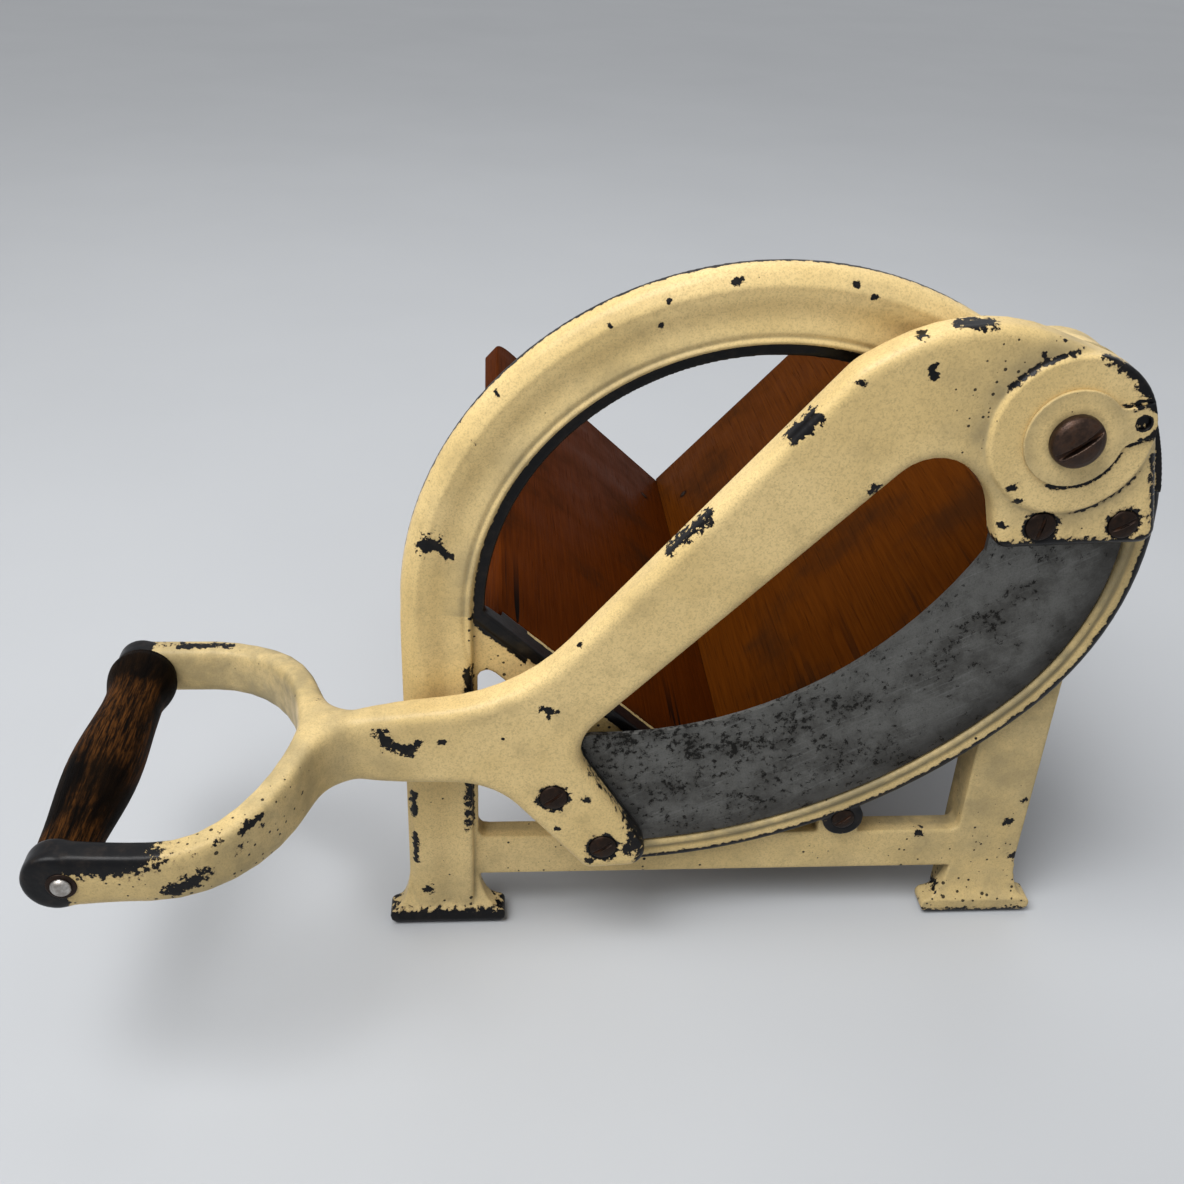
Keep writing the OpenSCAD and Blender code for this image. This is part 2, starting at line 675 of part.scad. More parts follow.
// The lever's body: a rim rounded at the front and eased at the back, filled by a flat core
module lever_body() {
    steps = concat([[lever_back_e, lever_back], [0, lever_back - lever_back_e]],
        [for (i = [0:4]) let (a = 22.5 * i) [lever_e * (1 - cos(a)), lever_front + lever_e * (1 - sin(a))]],
        [[lever_e + 2, lever_front], [lever_e + 2, lever_back]]);
    loop_skin([for (s = steps) [for (p = rounded(LEVER, 7, s[0])) [pivot_x + p[0], s[1], pivot_z + p[1]]]]);
    slab(lever_front, lever_back) translate([pivot_x, pivot_z]) polygon(rounded(LEVER, 7, lever_e + 1));
}

// Plan of a limb's inner and outer edges from the web at the neck round the crotch to the rod: x, offset from mid-plane
function limb_edges() = let (
        cx = grip_x + limb_straight, web = pivot_x - neck_x + 14 - cx - crotch_l - limb_thin)
    concat([for (a = [0, 3, 6, 10, 15, 20, 30, 40, 50, 60, 70, 80, 90]) let (
                inner = a > 0 ? [cx + crotch_l * cos(a), fork_half * sin(a)] : [cx + crotch_l + 1.5, -1.5],
                t = limb_thin + (limb_t - limb_thin) * pow(a / 90, 1.2) + web * exp(-a / 5))
            [inner, inner + t * unit([0, 0], [fork_half * cos(a), crotch_l * sin(a)])
                        + [0, a > 0 ? 2.4 * exp(-a / 10) : 0]]],
        [for (x = [grip_x + 14, grip_x - limb_over]) [[x, fork_half], [x, limb_out]]]);

// One limb: a rounded bar between its edges, drawn down from the neck's height to its own
module limb(side) {
    z0 = pivot_z - neck_z;
    x0 = pivot_x - neck_x - 2;
    skin([for (s = limb_edges()) let (
            mid = (s[0] + s[1]) / 2, half = (s[0] - s[1]) / 2,
            u = min(1, max(0, (x0 - mid[0]) / (x0 - grip_x + limb_over - 40))),
            e = (1 - cos(180 * u)) / 2, h = neck_h - 0.8 + (limb_h - neck_h + 0.8) * e,
            z = z0 + (grip_z - z0) * e)
        [for (k = [0:15]) let (a = 22.5 * k * side, cx = sign(cos(a)) * pow(abs(cos(a)), 0.5),
                               sz = sign(sin(a)) * pow(abs(sin(a)), 0.5))
            [mid[0] + half[0] * cx, lever_mid + side * (mid[1] + half[1] * cx), z + h / 2 * sz]]]);
}

// The round end of a limb, past the rod
module limb_end(side) {
    translate([0, lever_mid + side * (fork_half + limb_t / 2), 0]) spin(grip_x - limb_over, grip_z)
        polygon(concat([[0, -limb_t / 2]], arc([limb_h / 2 - limb_e, -limb_t / 2 + limb_e], limb_e, -90, 0, 4),
            arc([limb_h / 2 - limb_e, limb_t / 2 - limb_e], limb_e, 0, 90, 4), [[0, limb_t / 2]]));
}

// Lever: body, raised disc and forked handle in one casting
module lever_arm() {
    color(CREAM) place() difference() {
        union() {
            difference() {
                lever_body();
                for (p = concat(LEG_SCREWS, HUB_SCREWS)) {
                    rod(pivot_x + p[0], pivot_z + p[1], lever_front - 1, 1, screw_r + hole_gap);
                    rod(pivot_x + p[0], pivot_z + p[1], lever_front - 1, lever_front + spot_d,
                        screw_head_r + 2 * hole_gap);
                }
            }
            spin(pivot_x, pivot_z) polygon([[0, lever_mid], [disc_r, lever_mid], [disc_r, disc_front + 0.8],
                                            [disc_r - 0.8, disc_front], [0, disc_front]]);
            for (side = [-1, 1]) {
                limb(side);
                limb_end(side);
            }
        }
        rod(pivot_x, pivot_z, disc_front - 1, 1, bolt_r + run_gap);
        rod(grip_x, grip_z, lever_mid - limb_out - 1, lever_mid + limb_out + 1, rod_r + hole_gap);
    }
}

// Locking plate: a disc with a drilled tail
module lock_plate() {
    tail = lock_hole_r + 4;
    neck = 5;
    turn = asin((tail + neck) / (lock_r + neck));
    neck_far = (lock_r + neck) * cos(turn);
    tail_end = lock_reach + lock_hole_r + 2.2;
    tail_turn = asin(tail / tail_end);
    color(CREAM) place() difference() {
        translate([pivot_x, 0, pivot_z]) rotate([0, -lock_angle, 0]) slab(lock_front, disc_front)
            polygon(concat(
                arc([0, 0], lock_r, turn, 360 - turn, 75),
                arc([neck_far, -tail - neck], neck, 180 - turn - 10, 90, 5),
                arc([0, 0], tail_end, -tail_turn, tail_turn, 8),
                arc([neck_far, tail + neck], neck, 270, 180 + turn + 10, 5)));
        rod(pivot_x, pivot_z, lock_front - 1, disc_front + 1, bolt_r + run_gap);
        rod(pivot_x + lock_reach * cos(lock_angle), pivot_z + lock_reach * sin(lock_angle),
            lock_front - 1, disc_front + 1, lock_hole_r);
    }
}

// The blade's blank: past the cutting edge along both sweeps, then the hub end, the hollow back and the leg end
function blade_outline() = concat(
    arc([sweep_x, sweep_z], sweep_r - edge_cut + 2, sweep_start, sweep_turn - 1, 20),
    arc([turn_x, turn_z], turn_r - edge_cut + 2, sweep_turn + 2, 9, 12),
    arc([pivot_x, pivot_z], eye_r + 1, -45, -120, 12),
    arc([-58, ring_z + 108], 163, -28, -92, 20),
    [[pivot_x - 190, pivot_z - 152], [pivot_x - 190, pivot_z - 166], [pivot_x - 164, pivot_z - 199]]);

// Sickle blade, trimmed to the cutting edge with a ground bevel
module blade() {
    color(STEEL) place() difference() {
        slab(lever_back, -blade_gap) polygon(blade_outline());
        // The sweep's bevel runs on 2 degrees under the turn's, so that no fin is left where they meet
        for (s = [[sweep_x, sweep_z, sweep_r, sweep_start - 3, sweep_turn - sweep_start + 5],
                  [turn_x, turn_z, turn_r, sweep_turn, 57]])
            spin(s[0], s[1], s[3], s[4]) polygon([[s[2] - edge_cut - bevel_w, lever_back],
                [s[2] - edge_cut - bevel_w, lever_back - 1], [s[2], lever_back - 1],
                [s[2], 0], [s[2] - edge_cut, 0], [s[2] - edge_cut, -blade_gap - edge_t]]);
        for (p = concat(LEG_SCREWS, HUB_SCREWS))
            rod(pivot_x + p[0], pivot_z + p[1], lever_back - 1, 0, screw_r + hole_gap);
    }
}

// One of the blade's slotted screws
module blade_screw(p, slot_angle) {
    facing(pivot_x + p[0], lever_front + spot_d, pivot_z + p[1]) dome_head(screw_head_r, spot_d + 1, 1.4, slot_angle);
    rod(pivot_x + p[0], pivot_z + p[1], lever_front + spot_d, -blade_gap, screw_r);
}

// Screws that hold the blade to the lever's leg
module leg_blade_screws() {
    color(BROWNED) place() union() {
        blade_screw(LEG_SCREWS[0], 40);
        blade_screw(LEG_SCREWS[1], 35);
    }
}

// Screws that hold the blade under the lever's hub
module hub_blade_screws() {
    color(BROWNED) place() union() {
        blade_screw(HUB_SCREWS[0], 80);
        blade_screw(HUB_SCREWS[1], 30);
    }
}

// Rod through the grip, domed at both ends
module grip_rod() {
    color(STEEL) place() union() {
        rod(grip_x, grip_z, lever_mid - rod_end, lever_mid + rod_end, rod_r);
        for (side = [-1, 1]) translate([grip_x, lever_mid + side * rod_end, grip_z]) rotate([side * -90, 0, 0])
            rotate_extrude() polygon(concat([[0, 0]], [for (i = [0:8]) let (a = 11.25 * i)
                [dome_r * cos(a), dome_h * sin(a)]]));
    }
}

// Washers under the rod's domed ends
module grip_washers() {
    color(BROWNED) place() for (side = [-1, 1]) difference() {
        rod(grip_x, grip_z, lever_mid + (side > 0 ? limb_out : -rod_end),
            lever_mid + (side > 0 ? rod_end : -limb_out), rod_washer_r);
        rod(grip_x, grip_z, lever_mid - rod_end - 1, lever_mid + rod_end + 1, rod_r + hole_gap);
    }
}

// Turned grip: near end, belly, waist and far collar, joined by half waves
module wooden_grip() {
    half = fork_half - run_gap;
    stops = [[-half, near_r], [-half * 0.12, grip_r], [half * 0.62, waist_r], [half * 0.9, collar_r],
             [half, collar_r - 1.2]];
    wave = [for (i = [0:3]) for (k = [0:7]) let (u = k / 8, e = (1 - cos(180 * u)) / 2)
        [stops[i][1] + (stops[i + 1][1] - stops[i][1]) * e, stops[i][0] + (stops[i + 1][0] - stops[i][0]) * u]];
    color(DARK_WOOD) place() difference() {
        translate([0, lever_mid, 0]) spin(grip_x, grip_z)
            polygon(concat([[0, -half]], wave, [[stops[4][1], half], [0, half]]));
        rod(grip_x, grip_z, lever_mid - half - 1, lever_mid + half + 1, rod_r + run_gap);
    }
}

front_frame();
blade_guard();
guard_screw();
left_board();
right_board();
rear_stand();
front_board_screws();
board_nails();
stand_screws();
pivot_bolt();
pivot_washer();
pivot_nut();
lever_arm();
lock_plate();
blade();
leg_blade_screws();
hub_blade_screws();
grip_rod();
grip_washers();
wooden_grip();
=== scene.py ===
# Looks of a guillotine bread slicer: worn cream castings, oiled boards, pitted blade, dark turned grip
import json
import math

import bmesh
import bpy
import numpy as np
from mathutils import Matrix, Vector

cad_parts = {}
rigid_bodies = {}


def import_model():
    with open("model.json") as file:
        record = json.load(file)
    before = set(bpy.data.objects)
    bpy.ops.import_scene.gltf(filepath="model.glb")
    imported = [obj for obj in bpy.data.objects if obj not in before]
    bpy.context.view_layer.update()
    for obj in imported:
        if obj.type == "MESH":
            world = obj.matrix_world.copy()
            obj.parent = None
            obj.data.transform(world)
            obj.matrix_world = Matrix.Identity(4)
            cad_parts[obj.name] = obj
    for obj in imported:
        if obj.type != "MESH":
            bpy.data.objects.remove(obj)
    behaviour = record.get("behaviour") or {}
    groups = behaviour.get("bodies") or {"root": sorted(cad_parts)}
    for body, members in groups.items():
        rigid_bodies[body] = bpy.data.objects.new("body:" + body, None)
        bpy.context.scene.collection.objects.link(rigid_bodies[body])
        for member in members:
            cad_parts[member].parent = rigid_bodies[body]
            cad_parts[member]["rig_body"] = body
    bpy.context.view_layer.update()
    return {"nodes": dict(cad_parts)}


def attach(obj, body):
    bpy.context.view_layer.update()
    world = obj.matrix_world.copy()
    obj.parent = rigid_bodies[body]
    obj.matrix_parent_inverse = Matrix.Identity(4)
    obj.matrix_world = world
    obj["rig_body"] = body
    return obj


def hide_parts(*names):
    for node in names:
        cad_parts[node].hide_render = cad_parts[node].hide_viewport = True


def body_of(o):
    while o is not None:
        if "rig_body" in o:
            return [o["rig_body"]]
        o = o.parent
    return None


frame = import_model()
scene = bpy.context.scene
nodes = frame["nodes"]

# The drawing's own zero, on the floor under the middle of the ring's face, as a point of the frame in mm
ORIGIN = np.array([57.28, -123.25, 0.0])

# Main sizes of the part in mm, from that point: x to the right, y to the back, z up. Pairs are x and z
RING_Z = 161
RING_THICK = 10
BEAD_R = 111.6
SHOULDER_R = 133.5
PIVOT = (102, 247)
HUB_R = 31.4
DISC_R = 19.6
LOCK_HOLE = (125.7, 253.3)
GRIP = (-254, 102)
SWEEP = (-57, 275)
SWEEP_R = 240
TURN = (30.7, 196)
TURN_R = 122

# The lever's middle, and where the two limb ends of its fork begin, along y
LEVER_MID = -9.8
NEAR_LIMB = -58
FAR_LIMB = 40

# The blade's screws, from the pivot, and the radius that is worn round each
BLADE_SCREWS = ((-181, -163), (-159.5, -190), (-3, -37), (28.5, -36))
SINK_R = 7.6

# Straight edges of the lever: a point and the slope of the one under the hub and of the one at its right,
# then a point of the leg's edge along the blade and the direction square to it
HEM = (84.5, 204.2)
HEM_SLOPE = 0.049
FLANK = (142.0, 202.5)
FLANK_LEAN = 0.2526
LEG_EDGE = (-33, 45.5)
LEG_SQUARE = (0.845, 0.535)

# The trough: its lowest line, its slopes, how far each board reaches up its slope, and the nails
VEE = (3, 62)
LEFT_SLOPE = math.radians(42)
RIGHT_SLOPE = math.radians(48)
LEFT_REACH = (-11, 139)
RIGHT_REACH = (0, 163)
LEFT_NAIL = (-9.6, 284, 73.4)
RIGHT_NAIL = (14.4, 284, 74.6)
BOARD_FRONT = 15.4
BOARD_LENGTH = 316
BOARD_THICK = 11
BOARD_CORNER = 12
CORNER_STEPS = 8

# Small changes of form that only the looks have, in metres
BOARD_EASE = 0.0011
NAIL_PROUD = 0.0003
GRIP_ASKEW = 0.0028
KNOB_SWELL = 0.0016


def place(x, y, z):
    """A point of the drawing, in metres in the frame."""
    return Vector((np.array([x, y, z]) + ORIGIN) / 1000)


# Camera

PHOTO_PIXELS = 1184
FOCAL_PIXELS = 1300
CAMERA_AT = place(-105.73, -430.98, 427.56)
CAMERA_PITCH = math.radians(30.508)
CAMERA_YAW = math.radians(5.319)
CAMERA_ROLL = math.radians(-2.668)
SENSOR = 36


def add_camera():
    """The camera at the photograph's viewpoint."""
    forward = Vector((math.sin(CAMERA_YAW) * math.cos(CAMERA_PITCH),
                      math.cos(CAMERA_YAW) * math.cos(CAMERA_PITCH), -math.sin(CAMERA_PITCH)))
    level = Vector((math.cos(CAMERA_YAW), -math.sin(CAMERA_YAW), 0))
    down = forward.cross(level)
    right = level * math.cos(CAMERA_ROLL) + down * math.sin(CAMERA_ROLL)
    lower = down * math.cos(CAMERA_ROLL) - level * math.sin(CAMERA_ROLL)
    data = bpy.data.cameras.new("photo_camera")
    data.sensor_width = SENSOR
    data.lens = SENSOR * FOCAL_PIXELS / PHOTO_PIXELS
    data.clip_start = 0.01
    data.clip_end = 50
    camera = bpy.data.objects.new("photo_camera", data)
    turn = Matrix((right, -lower, -forward)).transposed().to_4x4()
    camera.matrix_world = Matrix.Translation(CAMERA_AT) @ turn
    scene.collection.objects.link(camera)
    scene.camera = camera


# Node materials

class Paint:
    """A new material and short calls for the nodes that are used here."""

    def __init__(self, name, **constants):
        self.material = bpy.data.materials.new(name)
        self.material.use_nodes = True
        self.tree = self.material.node_tree
        self.tree.nodes.clear()
        out = self.add("ShaderNodeOutputMaterial")
        self.shader = self.add("ShaderNodeBsdfPrincipled")
        self.tree.links.new(self.shader.outputs["BSDF"], out.inputs["Surface"])
        for socket, value in constants.items():
            self.shader.inputs[socket.replace("_", " ")].default_value = value
        self.at = self.add("ShaderNodeTexCoord").outputs["Object"]

    def add(self, kind, **settings):
        """A new node with its settings."""
        node = self.tree.nodes.new(kind)
        for key, value in settings.items():
            setattr(node, key, value)
        return node

    def feed(self, socket, value):
        """Links a socket to an output, or sets it to a number, a vector or a colour."""
        if isinstance(value, bpy.types.NodeSocket):
            self.tree.links.new(value, socket)
        elif isinstance(value, tuple) and len(value) == 3 and len(socket.default_value) == 4:
            socket.default_value = (*value, 1)
        else:
            socket.default_value = value

    def use(self, socket, value):
        """Feeds one of the shader's sockets."""
        self.feed(self.shader.inputs[socket], value)

    def turned(self, angle, stretch):
        """Coordinates turned about y by an angle, then multiplied along each axis."""
        spin = self.add("ShaderNodeVectorRotate", rotation_type="Y_AXIS")
        self.feed(spin.inputs["Vector"], self.at)
        spin.inputs["Angle"].default_value = angle
        scaled = self.add("ShaderNodeVectorMath", operation="MULTIPLY")
        self.feed(scaled.inputs[0], spin.outputs[0])
        scaled.inputs[1].default_value = stretch
        return scaled.outputs[0]

    def noise(self, scale, detail=4, rough=0.6, at=None, warp=0.0):
        """Cloudy noise, at the object's own coordinates unless others are given."""
        node = self.add("ShaderNodeTexNoise")
        self.feed(node.inputs["Vector"], at or self.at)
        node.inputs["Scale"].default_value = scale
        node.inputs["Detail"].default_value = detail
        node.inputs["Roughness"].default_value = rough
        node.inputs["Distortion"].default_value = warp
        return node.outputs["Fac"]

    def cells(self, scale):
        """Distance from the nearest of many scattered points, and a random number of that point."""
        node = self.add("ShaderNodeTexVoronoi")
        self.feed(node.inputs["Vector"], self.at)
        node.inputs["Scale"].default_value = scale
        split = self.add("ShaderNodeSeparateColor")
        self.feed(split.inputs[0], node.outputs["Color"])
        return node.outputs["Distance"], split.outputs[0]

    def field(self, name):
        """A number kept on the mesh's points."""
        return self.add("ShaderNodeAttribute", attribute_name=name).outputs["Fac"]

    def axis(self, index):
        """One of the object's coordinates, in metres."""
        split = self.add("ShaderNodeSeparateXYZ")
        self.feed(split.inputs[0], self.at)
        return split.outputs[index]

    def far_from(self, x, z):
        """Distance in metres from an axis along y through a point of the drawing, in mm."""
        flat = self.add("ShaderNodeVectorMath", operation="MULTIPLY")
        self.feed(flat.inputs[0], self.at)
        flat.inputs[1].default_value = (1, 0, 1)
        gap = self.add("ShaderNodeVectorMath", operation="DISTANCE")
        self.feed(gap.inputs[0], flat.outputs[0])
        gap.inputs[1].default_value = (place(x, 0, z).x, 0, place(x, 0, z).z)
        return gap.outputs["Value"]

    def calc(self, operation, a, b=0.0, c=0.0):
        """One step of arithmetic."""
        node = self.add("ShaderNodeMath", operation=operation)
        for socket, value in zip(node.inputs, (a, b, c)):
            self.feed(socket, value)
        return node.outputs[0]

    def step(self, value, low, high):
        """0 at low and 1 at high, smooth between them."""
        node = self.add("ShaderNodeMapRange", interpolation_type="SMOOTHSTEP")
        self.feed(node.inputs["Value"], value)
        node.inputs["From Min"].default_value = low
        node.inputs["From Max"].default_value = high
        return node.outputs[0]

    def scale(self, value, low, high):
        """Carries a number from 0 to 1 over to the range low to high."""
        return self.calc("MULTIPLY_ADD", value, high - low, low)

    def most(self, *values):
        """The largest of several values."""
        top = values[0]
        for value in values[1:]:
            top = self.calc("MAXIMUM", top, value)
        return top

    def blend(self, share, a, b):
        """A colour between a and b: a where share is 0, b where it is 1."""
        node = self.add("ShaderNodeMix", data_type="RGBA")
        self.feed(node.inputs[0], share)
        self.feed(node.inputs[6], a)
        self.feed(node.inputs[7], b)
        return node.outputs[2]

    def bump(self, height, depth, strength):
        """Fine relief, depth in metres."""
        node = self.add("ShaderNodeBump")
        self.feed(node.inputs["Height"], height)
        node.inputs["Distance"].default_value = depth
        node.inputs["Strength"].default_value = strength
        self.feed(self.shader.inputs["Normal"], node.outputs[0])


# Colours as linear red, green and blue

ENAMEL = (0.800, 0.600, 0.280)
ENAMEL_FADED = (0.715, 0.525, 0.228)
ENAMEL_HAZE = (0.400, 0.300, 0.140)
ENAMEL_DIRT_AND_SHADE = (0.190, 0.170, 0.110)
ENAMEL_MOTTLE = (0.400, 0.290, 0.125)
ENAMEL_GRAIN = (0.330, 0.240, 0.110)
CHIP_HALO = (0.250, 0.170, 0.085)
IRON = (0.0050, 0.0050, 0.0058)
IRON_BROWN = (0.018, 0.014, 0.012)
# The dark and the light of each board's grain
LEFT_WOOD = ((0.050, 0.0092, 0.0006), (0.108, 0.0235, 0.0018))
RIGHT_WOOD = ((0.050, 0.0112, 0.0008), (0.108, 0.0290, 0.0024))
WOOD_STAIN = (0.020, 0.009, 0.004)
WOOD_SPLIT = (0.006, 0.004, 0.003)
NAIL_STAIN = (0.006, 0.003, 0.002)
GRIP_DARK = (0.0020, 0.0014, 0.0011)
GRIP_STREAK = (0.0080, 0.0042, 0.0020)
GRIP_WORN = (0.088, 0.033, 0.0080)
BLADE_PALE = (0.160, 0.157, 0.146)
BLADE_STAIN = (0.092, 0.089, 0.082)
BLADE_SCRATCH = (0.26, 0.26, 0.25)
BLADE_GRAIN = (0.050, 0.048, 0.046)
BLADE_EDGE_STAIN_SHADE = (0.045, 0.042, 0.039)
BLADE_CORNER = (0.030, 0.028, 0.026)
BLADE_PIT = (0.012, 0.011, 0.010)
BROWN_COOL = (0.054, 0.034, 0.026)
BROWN_WARM = (0.092, 0.053, 0.036)
BROWN_WORN = (0.25, 0.18, 0.14)
BROWN_RUST = (0.050, 0.020, 0.009)
STEEL_PALE = (0.52, 0.50, 0.47)
STEEL_DULL = (0.30, 0.275, 0.25)
STEEL_RUST = (0.085, 0.036, 0.016)
FLOOR_DULL = (0.47, 0.485, 0.505)
FLOOR_PALE = (0.52, 0.535, 0.555)


def cream_enamel():
    """Old cream enamel, chipped down to black iron where the mesh's fields say so."""
    p = Paint("cream_enamel", Specular_IOR_Level=0.17)
    drift = p.step(p.noise(16, 3), 0.35, 0.65)
    cloud = p.noise(60, 6, 0.65)
    ragged = p.calc("SUBTRACT", p.noise(420, 5, 0.62), 0.5)
    grain = p.noise(1400, 3, 0.6)
    peel = p.noise(420, 3, 0.5)
    # Grime lies in the hollows and in soft clouds; the mesh's field for it also carries painted shade, as on
    # the right post
    hollow = p.step(p.calc("MULTIPLY", p.field("edge"), -1.0), 0.12, 0.8)
    grime_film_and_shade = p.calc("MULTIPLY", p.field("grime_and_shade"), p.scale(p.step(cloud, 0.32, 0.62), 0.35, 1.0))
    # Here dirt also carries the painted shade that comes with the mesh's field
    dirt = p.calc("MINIMUM", p.calc("ADD", grime_film_and_shade, p.calc("MULTIPLY", hollow, 0.75)), 1.0)
    haze = p.calc("MULTIPLY", p.step(cloud, 0.5, 0.72), 0.35)
    cream = p.blend(drift, ENAMEL, ENAMEL_FADED)
    cream = p.blend(haze, cream, ENAMEL_HAZE)
    cream = p.blend(p.calc("MULTIPLY", dirt, 0.75), cream, ENAMEL_DIRT_AND_SHADE)
    mottle = p.noise(520, 6, 0.75)
    cream = p.blend(p.calc("MULTIPLY", p.step(mottle, 0.44, 0.66), 0.24), cream, ENAMEL_MOTTLE)
    cream = p.blend(p.calc("MULTIPLY", p.step(grain, 0.48, 0.66), 0.36), cream, ENAMEL_GRAIN)
    # Pinholes and fly specks, thicker in some places than in others
    crowd = p.calc("ADD", p.calc("MULTIPLY", p.step(p.noise(34, 3), 0.42, 0.7), 0.30), p.field("specks"))
    gap, chance = p.cells(430)
    radius = p.calc("MULTIPLY", p.calc("SUBTRACT", p.calc("ADD", chance, crowd), 1.02), 0.55)
    pin = p.step(p.calc("SUBTRACT", radius, gap), -0.02, 0.03)
    gap_wide, chance_wide = p.cells(95)
    fleck = p.calc("SUBTRACT", p.calc("MULTIPLY", p.calc("SUBTRACT", chance_wide, 0.80), 0.42), gap_wide)
    fleck = p.step(p.calc("ADD", fleck, p.calc("MULTIPLY", ragged, 0.12)), 0.0, 0.012)
    # Chips, worn regions and knocked edges, with ragged borders
    chip_level = p.calc("ADD", p.field("wear"), p.calc("MULTIPLY", ragged, 4.2))
    bare_level = p.calc("ADD", p.field("bare"), p.calc("MULTIPLY", ragged, 1.7))
    often = p.calc("SUBTRACT", p.noise(40, 3), 0.62)
    edge_level = p.calc("ADD", p.field("edge"), p.calc("MULTIPLY", ragged, 1.5))
    edge_level = p.calc("ADD", edge_level, p.calc("MULTIPLY", often, 2.2))
    chip = p.step(chip_level, 0.0, 0.05)
    bare = p.step(bare_level, 0.5, 0.54)
    knock = p.step(edge_level, 1.0, 1.06)
    iron = p.most(chip, bare, knock, fleck, p.calc("MULTIPLY", pin, 0.9))
    halo = p.most(p.step(chip_level, -0.22, 0.0), p.step(bare_level, 0.34, 0.5),
                  p.step(edge_level, 0.84, 1.0))
    cream = p.blend(p.calc("MULTIPLY", halo, 0.45), cream, CHIP_HALO)
    black = p.blend(p.step(p.noise(180, 5, 0.7), 0.45, 0.75), IRON, IRON_BROWN)
    p.use("Base Color", p.blend(iron, cream, black))
    dull = p.calc("ADD", p.calc("MULTIPLY", cloud, 0.5), p.calc("MULTIPLY", dirt, 0.5))
    p.use("Roughness", p.calc("ADD", p.scale(dull, 0.27, 0.55), p.calc("MULTIPLY", iron, -0.04)))
    height = p.calc("ADD", p.calc("MULTIPLY", iron, -1.0), p.calc("MULTIPLY", peel, 0.34))
    p.bump(p.calc("ADD", height, p.calc("MULTIPLY", grain, 0.07)), 0.0003, 0.85)
    return p.material


def board_wood(name, slope, colours, stain, split, nail):
    """Oiled, blotched hardwood with the grain along the board, y, splits near its front end and a nail."""
    p = Paint(name, Specular_IOR_Level=0.01)
    dark, light = colours
    along = p.turned(slope, (1, 0.045, 1))
    fibre_at = p.turned(slope, (1, 0.022, 1))
    figure = p.noise(26, 5, 0.55, along, 0.3)
    rings = p.calc("SINE", p.calc("MULTIPLY", figure, 210))
    rings = p.step(rings, -0.9, 1.0)
    fibre = p.noise(900, 5, 0.65, fibre_at)
    pore = p.step(p.noise(1700, 2, 0.5, fibre_at), 0.60, 0.70)
    blotch = p.noise(20, 5, 0.62)
    wood = p.blend(p.scale(rings, 0.40, 0.60), dark, light)
    wood = p.blend(p.calc("MULTIPLY", p.step(fibre, 0.35, 0.7), 0.35), wood, tuple(0.55 * c for c in dark))
    wood = p.blend(p.calc("MULTIPLY", pore, 0.40), wood, tuple(0.35 * c for c in dark))
    wood = p.blend(p.calc("MULTIPLY", p.step(blotch, 0.46, 0.72), stain), wood, WOOD_STAIN)
    # A rust stain round the nail
    nail_gap = p.add("ShaderNodeVectorMath", operation="DISTANCE")
    p.feed(nail_gap.inputs[0], p.at)
    nail_gap.inputs[1].default_value = place(*nail)
    rust = p.step(nail_gap.outputs["Value"], 0.0040, 0.0018)
    wood = p.blend(p.calc("MULTIPLY", rust, 0.85), wood, NAIL_STAIN)
    # Dark drying splits that start at the front end
    crack = p.step(p.noise(240, 2, 0.5, p.turned(slope, (1, 0.03, 1))), 0.655, 0.69)
    near = p.step(p.calc("MULTIPLY", p.axis(1), -1000), 40, 100)
    crack = p.calc("MULTIPLY", p.calc("MULTIPLY", crack, near), split)
    p.use("Base Color", p.blend(crack, wood, WOOD_SPLIT))
    p.use("Roughness", p.scale(p.most(p.step(blotch, 0.3, 0.7), pore), 0.42, 0.64))
    sunk = p.calc("MULTIPLY", p.most(pore, crack), 0.8)
    p.bump(p.calc("SUBTRACT", p.calc("MULTIPLY", fibre, 0.5), sunk), 0.00025, 0.7)
    return p.material


def grip_wood():
    """Dark turned wood, bleached to brown fibres where the hand has worn it."""
    p = Paint("grip_wood", Specular_IOR_Level=0.02)
    fibre_at = p.turned(0, (1, 0.055, 1))
    fibre = p.noise(1100, 6, 0.75, fibre_at, 0.35)
    streak = p.noise(260, 5, 0.65, fibre_at)
    patch = p.noise(32, 4, 0.6)
    # Black at the far end and in a band near the front one, by the place along the rod in mm
    back = p.scale(p.axis(1), 0.0, 1000.0)
    far_end = p.step(back, ORIGIN[1] + 24, ORIGIN[1] + 38)
    sooty = p.step(p.calc("ABSOLUTE", p.calc("ADD", back, 42 - ORIGIN[1])), 26, 8)
    dark = p.most(far_end, p.calc("MULTIPLY", sooty, 0.72))
    worn = p.calc("SUBTRACT", p.calc("ADD", patch, 0.12), p.calc("MULTIPLY", dark, 0.36))
    worn = p.step(p.calc("ADD", worn, p.calc("MULTIPLY", p.calc("SUBTRACT", streak, 0.5), 0.8)), 0.36, 0.68)
    bright = p.calc("MULTIPLY", p.step(fibre, 0.42, 0.62), worn)
    wood = p.blend(p.step(streak, 0.35, 0.65), GRIP_DARK, GRIP_STREAK)
    p.use("Base Color", p.blend(bright, wood, GRIP_WORN))
    p.use("Roughness", p.scale(fibre, 0.42, 0.72))
    p.bump(fibre, 0.0005, 0.9)
    return p.material


